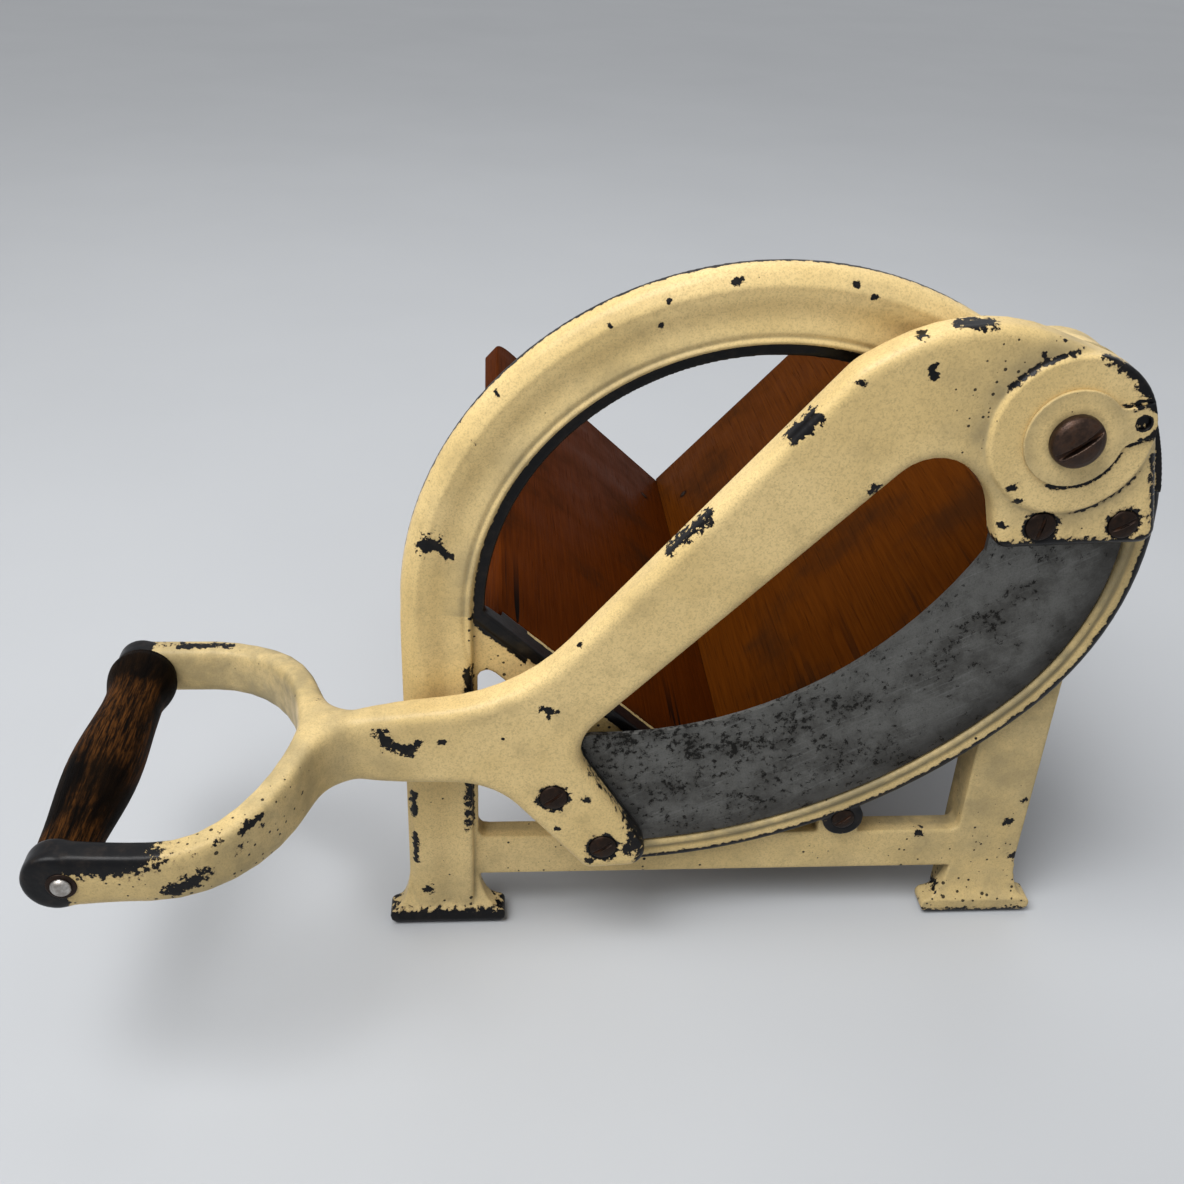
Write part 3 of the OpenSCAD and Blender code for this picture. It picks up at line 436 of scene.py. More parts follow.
def blade_steel():
    """Hand-ground carbon steel: dark pits, scratches along the sweep and a ground edge darkened by stain and
    painted shade beside the guard.
    """
    p = Paint("blade_steel", Metallic=1.0)
    stain = p.noise(48, 7, 0.7)
    pit = p.noise(330, 9, 0.76)
    fine = p.noise(1500, 4, 0.6)
    scratch_at = p.turned(math.radians(28), (0.05, 1, 1))
    scratch = p.noise(900, 3, 0.6, scratch_at)
    crowd = p.step(p.far_from(*PIVOT), 0.07, 0.19)
    inner = p.step(p.far_from(*SWEEP), 0.206, 0.176)
    drift = p.calc("MULTIPLY", p.step(stain, 0.40, 0.68), 0.10)
    level = p.calc("ADD", p.calc("ADD", pit, drift), p.calc("MULTIPLY", crowd, 0.050))
    level = p.calc("ADD", level, p.calc("MULTIPLY", inner, 0.050))
    pits = p.step(level, 0.640, 0.695)
    # The band along the ground edge, beside the guard's ridge, is darkened by stain and painted shade
    ground = p.step(p.far_from(*SWEEP), 0.2150, 0.2235)
    steel = p.blend(p.step(stain, 0.36, 0.66), BLADE_PALE, BLADE_STAIN)
    steel = p.blend(p.calc("MULTIPLY", p.step(scratch, 0.56, 0.7), 0.28), steel, BLADE_SCRATCH)
    steel = p.blend(p.calc("MULTIPLY", p.step(fine, 0.45, 0.7), 0.30), steel, BLADE_GRAIN)
    steel = p.blend(p.calc("MULTIPLY", ground, 0.50), steel, BLADE_EDGE_STAIN_SHADE)
    # The turn at the right lies darker
    corner = p.step(p.far_from(*TURN), 0.088, 0.112)
    corner = p.calc("MULTIPLY", corner, p.step(p.axis(0), place(55, 0, 0).x, place(85, 0, 0).x))
    steel = p.blend(p.calc("MULTIPLY", corner, 0.60), steel, BLADE_CORNER)
    p.use("Base Color", p.blend(p.calc("MULTIPLY", pits, 0.85), steel, BLADE_PIT))
    p.use("Roughness", p.scale(p.most(pits, p.step(stain, 0.3, 0.7)), 0.40, 0.66))
    height = p.calc("SUBTRACT", p.calc("MULTIPLY", fine, 0.25), pits)
    p.bump(p.calc("ADD", height, p.calc("MULTIPLY", scratch, 0.2)), 0.00012, 0.8)
    return p.material


def browned_steel(name, tone, metal=0.85):
    """Screws, bolt, nails and grip washers: brown-black steel, rusty in the slots and worn on high spots."""
    p = Paint(name, Metallic=metal, Specular_IOR_Level=0.5 * metal)
    patch = p.noise(320, 6, 0.68)
    fine = p.noise(1900, 4, 0.6)
    cool = tuple(tone * c for c in BROWN_COOL)
    warm = tuple(tone * c for c in BROWN_WARM)
    bright = tuple(tone * c for c in BROWN_WORN)
    steel = p.blend(p.step(patch, 0.38, 0.65), cool, warm)
    uneven = p.calc("MULTIPLY", p.calc("SUBTRACT", fine, 0.5), 0.6)
    worn = p.step(p.calc("ADD", p.field("edge"), uneven), 0.14, 0.4)
    rust = p.step(p.calc("ADD", patch, p.calc("MULTIPLY", p.field("edge"), -0.9)), 0.53, 0.70)
    steel = p.blend(p.calc("MULTIPLY", worn, 0.5), steel, bright)
    p.use("Base Color", p.blend(p.calc("MULTIPLY", rust, 0.8), steel, BROWN_RUST))
    p.use("Roughness", p.scale(p.most(rust, p.step(patch, 0.3, 0.7)), 0.32, 0.55))
    p.bump(p.calc("ADD", patch, p.calc("MULTIPLY", fine, 0.4)), 0.00022, 0.6)
    return p.material


def bright_steel():
    """Rod ends, washer and nut: worn bright steel, stained brown in the corners."""
    p = Paint("bright_steel", Metallic=1.0)
    patch = p.noise(300, 6, 0.66)
    fine = p.noise(2200, 3, 0.6)
    rust = p.step(p.calc("ADD", patch, p.calc("MULTIPLY", p.field("edge"), -1.2)), 0.60, 0.75)
    steel = p.blend(p.step(patch, 0.35, 0.65), STEEL_PALE, STEEL_DULL)
    p.use("Base Color", p.blend(p.calc("MULTIPLY", rust, 0.85), steel, STEEL_RUST))
    p.use("Roughness", p.scale(p.most(rust, fine), 0.22, 0.58))
    p.bump(p.calc("ADD", p.calc("MULTIPLY", patch, 0.6), p.calc("MULTIPLY", fine, 0.4)), 0.00014, 0.6)
    return p.material


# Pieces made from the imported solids

BODY_OF = {node: body_of(thing)[0] for node, thing in nodes.items()}

# Shares of the way to the neighbours' mean: smoothing and swelling in turn, or smoothing alone
EASE_SHARES = (0.55, -0.57)
MELT_SHARE = 0.6

# Smoothing passes that show how far a corner stands out
CASTING_PASSES = 24
FITTING_PASSES = 12

# Points nearer than this, in metres, become one. Board edges turn this much to be eased or to be shaded sharp
WELD_GAP = 1e-6
EASED_TURN = math.radians(40)
SHARP_TURN = math.radians(32)

# The chip field far from any chip, and its reach: half as wide on a face as it is deep round an edge
NO_CHIP = -3.0
CHIP_REACH = np.array([1, 0.5, 1])


def ramp(value, low, high):
    """0 at low, 1 at high and straight between them."""
    return np.clip((value - low) / (high - low), 0, 1)


def numbers(items, key, width, kind=np.float64):
    """One property of all points, edges or normals as an array."""
    flat = np.empty(len(items) * width, dtype=kind)
    items.foreach_get(key, flat)
    return flat.reshape(-1, width)


class Web:
    """A mesh's points and edges, for averaging over neighbours."""

    def __init__(self, mesh):
        self.mesh = mesh
        self.points = numbers(mesh.vertices, "co", 3)
        ends = numbers(mesh.edges, "vertices", 2, np.int32)
        self.head = np.concatenate([ends[:, 0], ends[:, 1]])
        self.tail = np.concatenate([ends[:, 1], ends[:, 0]])
        self.count = np.maximum(np.bincount(self.head, minlength=len(self.points)), 1)

    def mean(self, values):
        """The mean of each point's neighbours."""
        total = len(self.points)
        sums = [np.bincount(self.head, column[self.tail], total) for column in values.T]
        return np.stack(sums, axis=1) / self.count[:, None]

    def ease(self, passes, share=None):
        """Rounds corners without shrinking the piece, by turns of smoothing and swelling."""
        for _ in range(passes):
            for weight in EASE_SHARES:
                step = weight * (self.mean(self.points) - self.points)
                self.points += step if share is None else step * share[:, None]

    def melt(self, passes, share):
        """Plain smoothing where share is above 0, for fillets."""
        for _ in range(passes):
            self.points += MELT_SHARE * share[:, None] * (self.mean(self.points) - self.points)

    def write(self):
        """Gives the points back to the mesh."""
        self.mesh.vertices.foreach_set("co", self.points.ravel())
        self.mesh.update()

    def relief(self, passes):
        """How far each point stands out from its smoothed surroundings, in mm, below 0 in hollows."""
        smooth = self.points.copy()
        for _ in range(passes):
            smooth += MELT_SHARE * (self.mean(smooth) - smooth)
        normal = numbers(self.mesh.vertex_normals, "vector", 3)
        return np.einsum("ij,ij->i", self.points - smooth, normal) * 1000

    def drawn(self):
        """The points in the drawing's mm, as x, y and z."""
        return (self.points * 1000 - ORIGIN).T


def keep(mesh, name, values):
    """Writes one number per point for the materials to read."""
    field = mesh.attributes.new(name=name, type="FLOAT", domain="POINT")
    field.data.foreach_set("value", np.asarray(values, dtype=np.float32))


def stand_in(piece, node, material):
    """Makes a new piece show in place of a solid, on the solid's body."""
    piece.data.materials.clear()
    piece.data.materials.append(material)
    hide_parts(node)
    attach(piece, BODY_OF[node])


def soft_copy(node, cell, passes, shape=None):
    """A dense copy of a solid with eased corners, cell in mm. Returns the piece and its web of points."""
    mesh = nodes[node].data.copy()
    welded = bmesh.new()
    welded.from_mesh(mesh)
    bmesh.ops.remove_doubles(welded, verts=welded.verts, dist=WELD_GAP)
    welded.to_mesh(mesh)
    welded.free()
    piece = bpy.data.objects.new(node + "_look", mesh)
    scene.collection.objects.link(piece)
    cells = piece.modifiers.new("cells", "REMESH")
    cells.mode = "VOXEL"
    cells.voxel_size = cell / 1000
    graph = bpy.context.evaluated_depsgraph_get()
    dense = bpy.data.meshes.new_from_object(piece.evaluated_get(graph))
    piece.modifiers.clear()
    piece.data = dense
    bpy.data.meshes.remove(mesh)
    web = Web(dense)
    web.ease(passes)
    if shape:
        shape(web)
    web.write()
    dense.shade_smooth()
    return piece, web


def marks(x, y, z, chips):
    """The chip field: 1 in the middle of a chip, 0 at its border, below 0 outside."""
    level = np.full(len(x), NO_CHIP)
    points = np.stack([x, y, z], axis=1) * CHIP_REACH
    for start, end, radius in chips:
        first = np.array(start) * CHIP_REACH
        line = np.array(end) * CHIP_REACH - first
        along = np.clip((points - first) @ line / max(line @ line, 1e-9), 0, 1)
        gap = np.linalg.norm(points - first - along[:, None] * line, axis=1)
        level = np.maximum(level, 1 - gap / radius)
    return level


def dot(x, y, z, radius):
    """A round chip."""
    return ((x, y, z), (x, y, z), radius)


def casting(node, cell, passes, chips, worn, shape=None):
    """A cream casting with its chips. worn gives bare iron, dirt together with painted shade, and specks from
    x, y and z.
    """
    piece, web = soft_copy(node, cell, passes, shape)
    x, y, z = web.drawn()
    bare, grime_and_shade, specks = worn(x, y, z)
    keep(piece.data, "edge", web.relief(CASTING_PASSES))
    keep(piece.data, "wear", marks(x, y, z, chips))
    keep(piece.data, "bare", bare)
    keep(piece.data, "grime_and_shade", grime_and_shade)
    keep(piece.data, "specks", specks)
    stand_in(piece, node, CREAM)


def fitting(node, cell, passes, material, shape=None):
    """A small metal or wooden piece with eased corners."""
    piece, web = soft_copy(node, cell, passes, shape)
    keep(piece.data, "edge", web.relief(FITTING_PASSES))
    stand_in(piece, node, material)


def board(node, side, reach, material):
    """A board with its upper rear corner rounded and all its edges eased."""
    slope = RIGHT_SLOPE if side > 0 else LEFT_SLOPE
    low, high = reach
    back = BOARD_FRONT + BOARD_LENGTH
    outline = [(low, BOARD_FRONT), (high, BOARD_FRONT)]
    for step in range(CORNER_STEPS + 1):
        angle = math.radians(90 * step / CORNER_STEPS)
        from_top = BOARD_CORNER * (1 - math.cos(angle))
        from_back = BOARD_CORNER * (1 - math.sin(angle))
        outline.append((high - from_top, back - from_back))
    outline.append((low, back))
    built = bmesh.new()
    up = Vector((side * math.cos(slope), 0, math.sin(slope)))
    face = Vector((-side * math.sin(slope), 0, math.cos(slope)))
    ground = Vector((VEE[0], 0, VEE[1]))
    layers = []
    for depth in (0, -BOARD_THICK):
        corners = [ground + up * rise + face * depth + Vector((0, y, 0)) for rise, y in outline]
        layers.append([built.verts.new(place(*corner)) for corner in corners])
    top, bottom = layers
    built.faces.new(top)
    built.faces.new(reversed(bottom))
    count = len(outline)
    for index in range(count):
        following = (index + 1) % count
        built.faces.new((top[index], bottom[index], bottom[following], top[following]))
    bmesh.ops.recalc_face_normals(built, faces=built.faces)
    sharp = [edge for edge in built.edges if edge.calc_face_angle() > EASED_TURN]
    bmesh.ops.bevel(built, geom=sharp, offset=BOARD_EASE, segments=3, profile=0.5, affect="EDGES")
    mesh = bpy.data.meshes.new(node + "_look")
    built.to_mesh(mesh)
    built.free()
    mesh.shade_smooth()
    mesh.set_sharp_from_angle(angle=SHARP_TURN)
    piece = bpy.data.objects.new(node + "_look", mesh)
    scene.collection.objects.link(piece)
    stand_in(piece, node, material)


# Worn places on the castings, read from the photograph

FRAME_CHIPS = [
    dot(-128, 0, 193, 4.2), ((-124, 0, 191), (-120, 1, 187), 1.6),
    dot(-103, 1, 253, 1.3), dot(-111, 1, 235, 1.0), dot(-44, 1, 288, 1.1), dot(-64, 1, 279, 1.0),
    dot(-46, 1, 279, 1.2), ((-22, 1, 295), (-19, 1, 296), 1.0), dot(21, 1, 295, 1.3), dot(28, 1, 291, 1.3),
    dot(47, 1, 294, 1.0),
    ((-137, 2, 72), (-137, 2, 62), 1.6), ((-137, 2, 50), (-137, 2, 36), 1.4), dot(-132, 1, 20, 2.4),
    dot(127, 4, 50, 2.2), dot(134, 4, 30, 2.6), dot(132, 4, 62, 1.4), dot(87, 4, 44, 2.2),
    dot(99, 6, 12, 2.4),
]
LEVER_CHIPS = [
    ((-148, -17, 118), (-145, -17, 113), 2.6), ((-145, -17, 112), (-136, -16, 109), 2.6),
    dot(-133, -16, 113, 1.8), dot(-124, -16, 113, 1.7),
    ((-85, -16, 129), (-79, -16, 127), 1.4), dot(-82, -16, 125, 1.2), dot(-71, -16, 158, 1.5),
    dot(-69, -16, 169, 1.1), ((-39, -10, 198), (-26, -13, 213), 2.5), ((2, -13, 245), (9, -15, 252), 2.7),
    dot(23, -16, 266, 1.5), dot(43, -10, 282, 2.0), ((56, -10, 286), (66, -12, 287), 2.2),
    ((47, -16, 272), (48, -16, 268), 1.5), dot(33, -16, 225, 2.6), dot(92, -16, 282, 1.3),
    dot(85, -16, 277, 1.0), dot(LOCK_HOLE[0], -18.4, LOCK_HOLE[1], 4.0), dot(83, -16, 227, 1.9),
    dot(87, -16, 222, 1.9), dot(84, -16, 210, 1.6),
    ((108, -18, 277), (118, -18, 272), 2.0), ((118, -18, 272), (128, -18, 263), 2.8),
    ((128, -18, 263), (133, -17, 254), 2.4),
    dot(-65, -16, 83, 1.8), dot(-77, -16, 68, 1.4), dot(-63, -16, 50, 1.8),
    ((-46, -14, 56), (-42, -13, 62), 3.6),
    ((-217, -81, 97), (-206, -80, 102), 3.0), dot(-194, -73, 106, 2.2), dot(-201, -73, 113, 1.6),
    dot(-209, -80, 111, 1.6), ((-193, -66, 113), (-188, -62, 114), 1.5), dot(-187, -62, 110, 1.1),
    dot(-175, -41, 108, 1.1), ((-240, 55, 113), (-216, 56, 113), 1.0), dot(-173, 4, 122, 1.6),
]
GUARD_CHIPS = [dot(49, -1, 55, 6.0), dot(20, -2, 49, 1.6), dot(-20, -2, 40, 1.8), dot(90, -2, 90, 1.6)]


def frame_wear(x, y, z):
    """Bare iron on the ring's inner rim, the V's rim, the left post and the soles, and a dark line of bare
    iron with painted shade along the ring's back edge.

    Grime lies low down, beside the bead and at the back, and painted shade darkens the right post under the
    hub.
    Specks lie low down, on the ring's outer part and on the left V bar.
    """
    radius = np.hypot(x, z - RING_Z)
    ring = ramp(BEAD_R - radius, -0.9, 0.9) * (z > RING_Z)
    left = (x - VEE[0]) * math.sin(LEFT_SLOPE) + (z - VEE[1]) * math.cos(LEFT_SLOPE)
    right = (VEE[0] - x) * math.sin(RIGHT_SLOPE) + (z - VEE[1]) * math.cos(RIGHT_SLOPE)
    over = np.where(x < VEE[0], left, right)
    inside = (x > -BEAD_R - 2) * (x < 112) * (z <= RING_Z)
    vee = ramp(over, -5.6, -4.2) * inside * ramp(13 - y, 0, 1)
    post = ramp(x + BEAD_R, -0.9, 0.9) * (x < -90) * (z <= RING_Z) * ramp(over, -9, -6)
    strip = ramp(2.6 - abs(x + 113.6), -0.6, 0.8) * ramp(z, 48, 56) * ramp(141 - z, 0, 5) * 0.66
    toe = ramp(np.where(x < 0, 9.5, 4.0) - z, -2.5, 4)
    boss = np.hypot(x - PIVOT[0], z - PIVOT[1])
    # A dark line along the ring's back outer edge: painted shade, drawn as ragged bare iron
    rear = ramp(y, 5.6, 8.4) * ramp(radius, 137.6, 139.6) * (z > RING_Z) * ramp(boss, 44, 60) * 0.8
    bare = np.maximum.reduce([ring, post, vee, strip, toe, rear])
    beside = ramp(radius, BEAD_R, BEAD_R + 1.5) * ramp(BEAD_R + 13 - radius, 0, 9)
    beside = beside * (z > RING_Z) * ramp(-x, -60, 60)
    low = ramp(46 - z, 0, 36)
    # Painted shade on the right post, which lies under the hub
    post_shade = ramp(x, 60, 90) * ramp(165 - z, 0, 30)
    grime_and_shade = np.maximum.reduce([0.6 * beside, 0.55 * low, 0.62 * post_shade]) + 0.5 * ramp(y, 8, 10)
    bar = ramp(over, -26, -20) * inside * (x < 0)
    specks = 0.28 * low + 0.16 * ramp(130 - z, 0, 80) + 0.10 * (radius > 132) + 0.5 * bar
    return bare, np.minimum(grime_and_shade, 1), specks


def lever_wear(x, y, z):
    """Bare iron on the limb ends, round the screws, in the hub's grooves and on the edges of hub and leg,
    with painted shadow under the hub and beside the lock plate's tail, and painted shade with bare iron along
    the leg's edge.

    Grime and specks lie round the hub, most at its upper left, and specks on the fork; the fork and neck are
    darker, most on the far limb.
    """
    near = ramp(NEAR_LIMB - y, 0, 4)
    far = ramp(y - FAR_LIMB, 0, 4)
    crown = near * ramp(-x, 208, 240) * ramp(z + 0.10 * (x + 254), 102, 114) * 1.35
    tip = near * ramp(-x, 249, 256)
    inner = near * ramp(y, -73, -70) * ramp(-x, 222, 232)
    far_tip = far * ramp(-x, 247, 253)
    far_top = far * ramp(z, 111, 113.5) * ramp(y, 50, 55) * ramp(-x, 205, 225) * 0.62
    hub = np.hypot(x - PIVOT[0], z - PIVOT[1])
    face = ramp(-12 - y, 0, 1)
    heads = [np.hypot(x - PIVOT[0] - right, z - PIVOT[1] - up) for right, up in BLADE_SCREWS]
    sunk = ramp(SINK_R - np.minimum.reduce(heads), -1.8, 1.8) * face * 0.74
    round_hub = np.degrees(np.arctan2(z - PIVOT[1], x - PIVOT[0]))
    above = ramp(36 - abs(round_hub - 122), 0, 14)
    below = 0.9 * ramp(34 - abs(round_hub + 55), 0, 14)
    groove = ramp(1.5 - abs(hub - HUB_R), -0.6, 1.0) * face * 0.66 * np.maximum(above, below)
    # A dark arc outside the lower right of the lock plate's rim, coloured as bare iron
    shoulder = ramp(1.5 - abs(hub - DISC_R), -0.5, 0.9) * face * 0.66 * ramp(58 - abs(round_hub + 62), 0, 20)
    # Painted shadow beside the lock plate's tail, drawn as bare iron
    beam = np.array([LOCK_HOLE[0] - PIVOT[0], LOCK_HOLE[1] - PIVOT[1]])
    beam = beam / np.linalg.norm(beam)
    aside = abs((x - PIVOT[0]) * beam[1] - (z - PIVOT[1]) * beam[0])
    tail = ramp(1.6 - abs(aside - 7.4), -0.6, 0.8) * ramp(hub, 17, 19) * ramp(x, 112, 116) * face * 0.70
    # The straight edges under and beside the hub, the one under it with a line of painted shadow drawn as
    # bare iron, then the leg's edge along the blade, bare iron with painted shade
    hem_shadow = ramp(HEM[1] + HEM_SLOPE * (x - HEM[0]) - z, -3.0, 3.0) * (x > 70) * 0.9
    flank = ramp(x - FLANK[0] + FLANK_LEAN * (z - FLANK[1]), -1.6, 1.6) * (x > 120) * (z < 240) * 0.66
    # The leg's edge band and its side wall: bare iron together with painted shade where the blade enters
    inset = -((x - LEG_EDGE[0]) * LEG_SQUARE[0] + (z - LEG_EDGE[1]) * LEG_SQUARE[1])
    width = 0.6 + 8.0 * ramp(72 - z, 0, 24)
    leg = ramp(width - inset, -2.2, 2.2) * ramp(x, -82, -74) * (x < -20) * ramp(104 - z, 0, 8) * 0.70
    leg_wall_shade = ramp(y, -9, -7) * ramp(x, -84, -78) * (x < -26) * (z < 112) * (inset < 1.5)
    limbs = [crown, tip, inner, far_tip, far_top]
    bare = np.maximum.reduce(limbs + [sunk, groove, shoulder, tail, hem_shadow, flank, leg, leg_wall_shade])
    fork = ramp(-x, 140, 175)
    # Darker over the neck and fork, most at the fork's root and on the far limb
    grime_and_shade = 0.40 * fork * ramp(x, -235, -190) + 0.28 * ramp(-x, 100, 150) + 0.40 * fork * ramp(y, 0, 30)
    grime_and_shade = grime_and_shade + 0.5 * ramp(hub, 30, 31.5) * ramp(40 - hub, 0, 8)
    rubbed = ramp(70 - abs((round_hub + 30) % 360 - 180), 0, 40) * ramp(hub, 31, 33) * ramp(58 - hub, 0, 22)
    grime_and_shade = grime_and_shade + 0.4 * rubbed
    limb = ramp(-30 - y, 0, 20)
    specks = 0.34 * fork * limb + 0.20 * fork + 0.12 * ramp(58 - hub, 0, 10) + 0.34 * rubbed
    return bare, np.minimum(grime_and_shade, 1), specks


def guard_wear(x, y, z):
    """A black line along the outer edge, bare iron with painted shade, and a brown ridge beside the blade."""
    sweep = SWEEP_R - np.hypot(x - SWEEP[0], z - SWEEP[1])
    turn = TURN_R - np.hypot(x - TURN[0], z - TURN[1])
    left = np.degrees(np.arctan2(z - SWEEP[1], x - SWEEP[0])) < -42
    depth = np.where(left, sweep, turn)
    # The black line along the outer edge: bare iron on the side wall together with painted shade
    bare = ramp(4.0 - depth, -1.2, 1.2) * 0.85
    grime_and_shade = ramp(depth, 6.0, 7.5) + 0.25
    return bare, np.minimum(grime_and_shade, 1), 0.12 + 0 * x


def stand_wear(x, y, z):
    """Black soles and dirt low on the rear stand."""
    return ramp(7 - z, -3.5, 5), 0.30 + 0.5 * ramp(50 - z, 0, 40), 0.12 + 0.2 * ramp(50 - z, 0, 40)


def plate_wear(x, y, z):
    """Dirt round the rim of the lock plate and bare iron round the end of its tail."""
    radius = np.hypot(x - PIVOT[0], z - PIVOT[1])
    hole = np.hypot(x - LOCK_HOLE[0], z - LOCK_HOLE[1])
    tail = ramp(radius, 20, 24) * ramp(hole, 4.0, 6.2) * 0.75
    bore = ramp(3.6 - hole, -0.4, 0.8)
    grime_and_shade = 0.55 * ramp(radius, 13, 18) + 0.5 * ramp(12 - radius, 0, 2)
    return np.maximum(tail, bore), grime_and_shade, 0.14 + 0 * x


def lever_shape(web):
    """Runs the neck into the fork as a casting does, and swells the knob at the near end."""
    x, y, z = web.drawn()
    web.ease(40, ramp(-x, 150, 170))
    neck = np.exp(-((x + 158) / 13) ** 2)
    crotch = np.exp(-((x + 176) / 12) ** 2 - ((y - LEVER_MID) / 16) ** 2)
    web.melt(70, np.minimum(neck + crotch, 1))
    x, y, z = web.drawn()
    near = ramp(NEAR_LIMB - y, 0, 3) * ramp(-x, 232, 262)
    out = np.stack([x - GRIP[0], 0.4 * (y + 75), z - GRIP[1]], axis=1)
    reach = np.maximum(np.linalg.norm(out, axis=1), 1e-6)
    web.points += (near * KNOB_SWELL / reach)[:, None] * out


def ring_relief(web):
    """Runs the posts into the ring and brings out the shoulder and bead that the cells have softened."""
    x, y, z = web.drawn()
    high = ramp(RING_Z - z, 0, 34)
    kept = 0.1 + 0.9 * high * high * (3 - 2 * high)
    post = (abs(x) > 100) * (z < RING_Z + 2) * (y > RING_THICK)
    web.points[:, 1] -= 0.001 * post * (y - RING_THICK) * (1 - kept)
    x, y, z = web.drawn()
    joint = np.exp(-((z - RING_Z) / 7) ** 2) * ramp(abs(x), 100, 108) * ramp(y, 4, 7)
    web.melt(40, joint)
    x, y, z = web.drawn()
    radius = np.hypot(x, z - RING_Z)
    front = ramp(4.5 - y, 0, 1.5) * ramp(z, RING_Z - 45, RING_Z - 5)
    bead = 0.40 * np.exp(-((radius - BEAD_R - 1.4) / 0.9) ** 2)
    trough = 0.80 * np.exp(-((radius - BEAD_R - 3.4) / 1.0) ** 2)
    shoulder = 0.45 * np.exp(-((radius - SHOULDER_R) / 1.6) ** 2)
    web.points[:, 1] -= 0.001 * front * (bead - trough + shoulder)


def proud(web):
    """The nail heads stand a hair out of the boards."""
    right = web.drawn()[0] > VEE[0]
    web.points[:, 0] -= NAIL_PROUD * np.where(right, math.sin(RIGHT_SLOPE), -math.sin(LEFT_SLOPE))
    web.points[:, 2] += NAIL_PROUD * np.where(right, math.cos(RIGHT_SLOPE), math.cos(LEFT_SLOPE))


def askew(web):
    """The worn grip sits a little askew on its rod."""
    y = web.drawn()[1]
    web.points[:, 0] -= GRIP_ASKEW * ramp(-y, -20, 62)


add_camera()
CREAM = cream_enamel()
BROWNED = browned_steel("browned_steel", tone=0.72)
DARK = browned_steel("dark_steel", tone=0.36)
RUSTY = browned_steel("rusty_steel", tone=0.25, metal=0.05)
BRIGHT = bright_steel()

casting("front_frame", cell=0.7, passes=5, chips=FRAME_CHIPS, worn=frame_wear, shape=ring_relief)
casting("lever_arm", cell=0.8, passes=8, chips=LEVER_CHIPS, worn=lever_wear, shape=lever_shape)
casting("blade_guard", cell=0.6, passes=4, chips=GUARD_CHIPS, worn=guard_wear)
casting("rear_stand", cell=1.2, passes=4, chips=(), worn=stand_wear)
casting("lock_plate", cell=0.4, passes=4, chips=(), worn=plate_wear)

left_wood = board_wood("left_board_wood", -LEFT_SLOPE, LEFT_WOOD, stain=0.70, split=1.0, nail=LEFT_NAIL)
board("left_board", -1, LEFT_REACH, left_wood)
right_wood = board_wood("right_board_wood", RIGHT_SLOPE, RIGHT_WOOD, stain=0.60, split=0.5, nail=RIGHT_NAIL)
board("right_board", 1, RIGHT_REACH, right_wood)

fitting("wooden_grip", cell=0.6, passes=10, material=grip_wood(), shape=askew)
fitting("pivot_bolt", cell=0.35, passes=4, material=BROWNED)
fitting("leg_blade_screws", cell=0.28, passes=4, material=DARK)
fitting("hub_blade_screws", cell=0.28, passes=4, material=DARK)
fitting("guard_screw", cell=0.28, passes=4, material=DARK)
fitting("front_board_screws", cell=0.3, passes=3, material=BROWNED)
fitting("stand_screws", cell=0.3, passes=3, material=BROWNED)
fitting("board_nails", cell=0.25, passes=2, material=RUSTY, shape=proud)
fitting("grip_washers", cell=0.25, passes=3, material=DARK)
fitting("grip_rod", cell=0.35, passes=4, material=BRIGHT)
fitting("pivot_washer", cell=0.35, passes=3, material=BRIGHT)
fitting("pivot_nut", cell=0.35, passes=4, material=BRIGHT)

blade = nodes["blade"]
blade.data.materials.clear()
blade.data.materials.append(blade_steel())


# Floor, world and lamps

FLOOR_HALF_WIDTH = 20
SKY_COLOUR = (0.95, 0.97, 1.0, 1)
SKY_LIGHT = 0.22
SKY_SEEN = 0.50
SUN_WAY = Vector((0.55, 0.35, -1.0))
SUN_SPREAD = math.radians(45)
SUN_POWER = 1.6

# Each lamp's name, place and width in metres and power in watts, and the point that all are aimed at
LAMPS = (
    ("key", (-0.48, -0.50, 1.20), 0.8, 8),
    ("window", (-0.36, -0.32, 1.22), 0.40, 2.6),
    ("fill", (1.1, -1.0, 0.8), 0.9, 1.0),
    ("top", (0.1, 0.65, 1.4), 1.1, 5),
)
LAMP_TARGET = Vector((0, 0, 0.12))


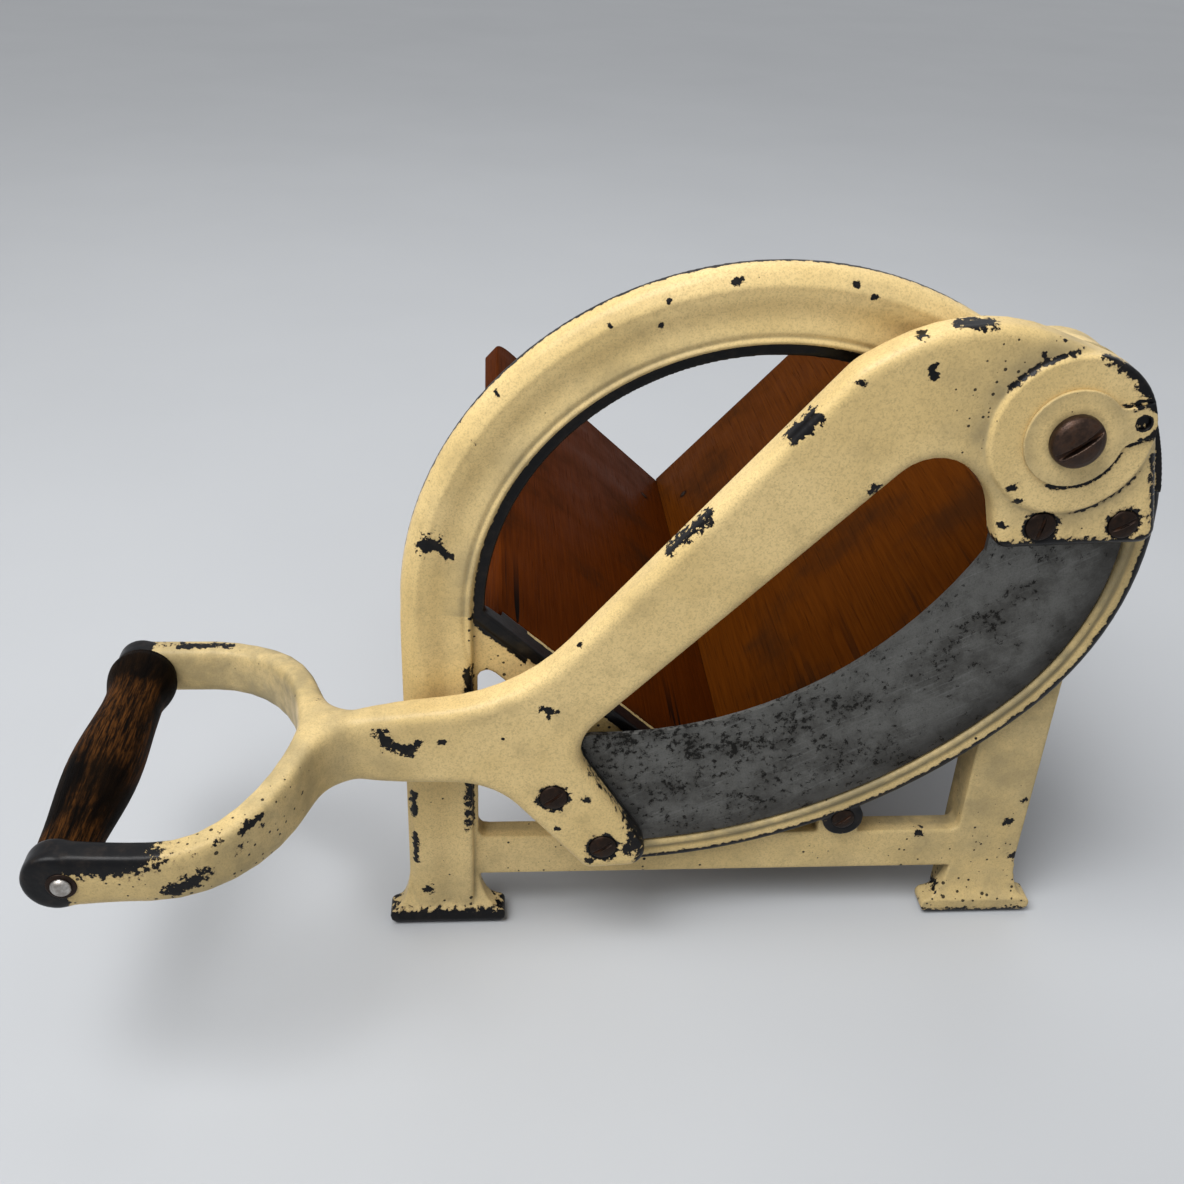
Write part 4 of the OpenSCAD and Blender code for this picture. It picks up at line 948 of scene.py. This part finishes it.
def add_floor():
    """A wide pale floor."""
    built = bmesh.new()
    bmesh.ops.create_grid(built, x_segments=8, y_segments=8, size=FLOOR_HALF_WIDTH)
    mesh = bpy.data.meshes.new("floor")
    built.to_mesh(mesh)
    built.free()
    floor = bpy.data.objects.new("floor", mesh)
    scene.collection.objects.link(floor)
    p = Paint("floor_paper", Roughness=0.9)
    p.use("Base Color", p.blend(p.noise(3, 3), FLOOR_DULL, FLOOR_PALE))
    mesh.materials.append(p.material)


def add_world():
    """An even sky that lights the shadows, and shows paler behind the part and in its gloss."""
    world = bpy.data.worlds.new("studio")
    scene.world = world
    world.use_nodes = True
    tree = world.node_tree
    sky = tree.nodes["Background"]
    sky.inputs["Color"].default_value = SKY_COLOUR
    rays = tree.nodes.new("ShaderNodeLightPath")
    seen = rays.outputs["Is Camera Ray"]
    for kind in ("Is Glossy Ray", "Is Transmission Ray"):
        either = tree.nodes.new("ShaderNodeMath")
        either.operation = "MAXIMUM"
        tree.links.new(seen, either.inputs[0])
        tree.links.new(rays.outputs[kind], either.inputs[1])
        seen = either.outputs[0]
    strength = tree.nodes.new("ShaderNodeMath")
    strength.operation = "MULTIPLY_ADD"
    tree.links.new(seen, strength.inputs[0])
    strength.inputs[1].default_value = SKY_SEEN - SKY_LIGHT
    strength.inputs[2].default_value = SKY_LIGHT
    tree.links.new(strength.outputs[0], sky.inputs["Strength"])


def add_lamp(name, at, size, power):
    """A square soft box aimed at the middle of the part."""
    data = bpy.data.lights.new(name, "AREA")
    data.shape = "SQUARE"
    data.size = size
    data.energy = power
    lamp = bpy.data.objects.new(name, data)
    lamp.location = at
    lamp.rotation_mode = "QUATERNION"
    lamp.rotation_quaternion = (LAMP_TARGET - Vector(at)).to_track_quat("-Z", "Y")
    scene.collection.objects.link(lamp)


def add_sun():
    """Soft daylight from the upper left."""
    data = bpy.data.lights.new("daylight", "SUN")
    data.angle = SUN_SPREAD
    data.energy = SUN_POWER
    sun = bpy.data.objects.new("daylight", data)
    sun.rotation_mode = "QUATERNION"
    sun.rotation_quaternion = SUN_WAY.to_track_quat("-Z", "Y")
    scene.collection.objects.link(sun)


add_floor()
add_world()
add_sun()
for name, at, size, power in LAMPS:
    add_lamp(name, at, size, power)

scene.view_settings.view_transform = "Standard"
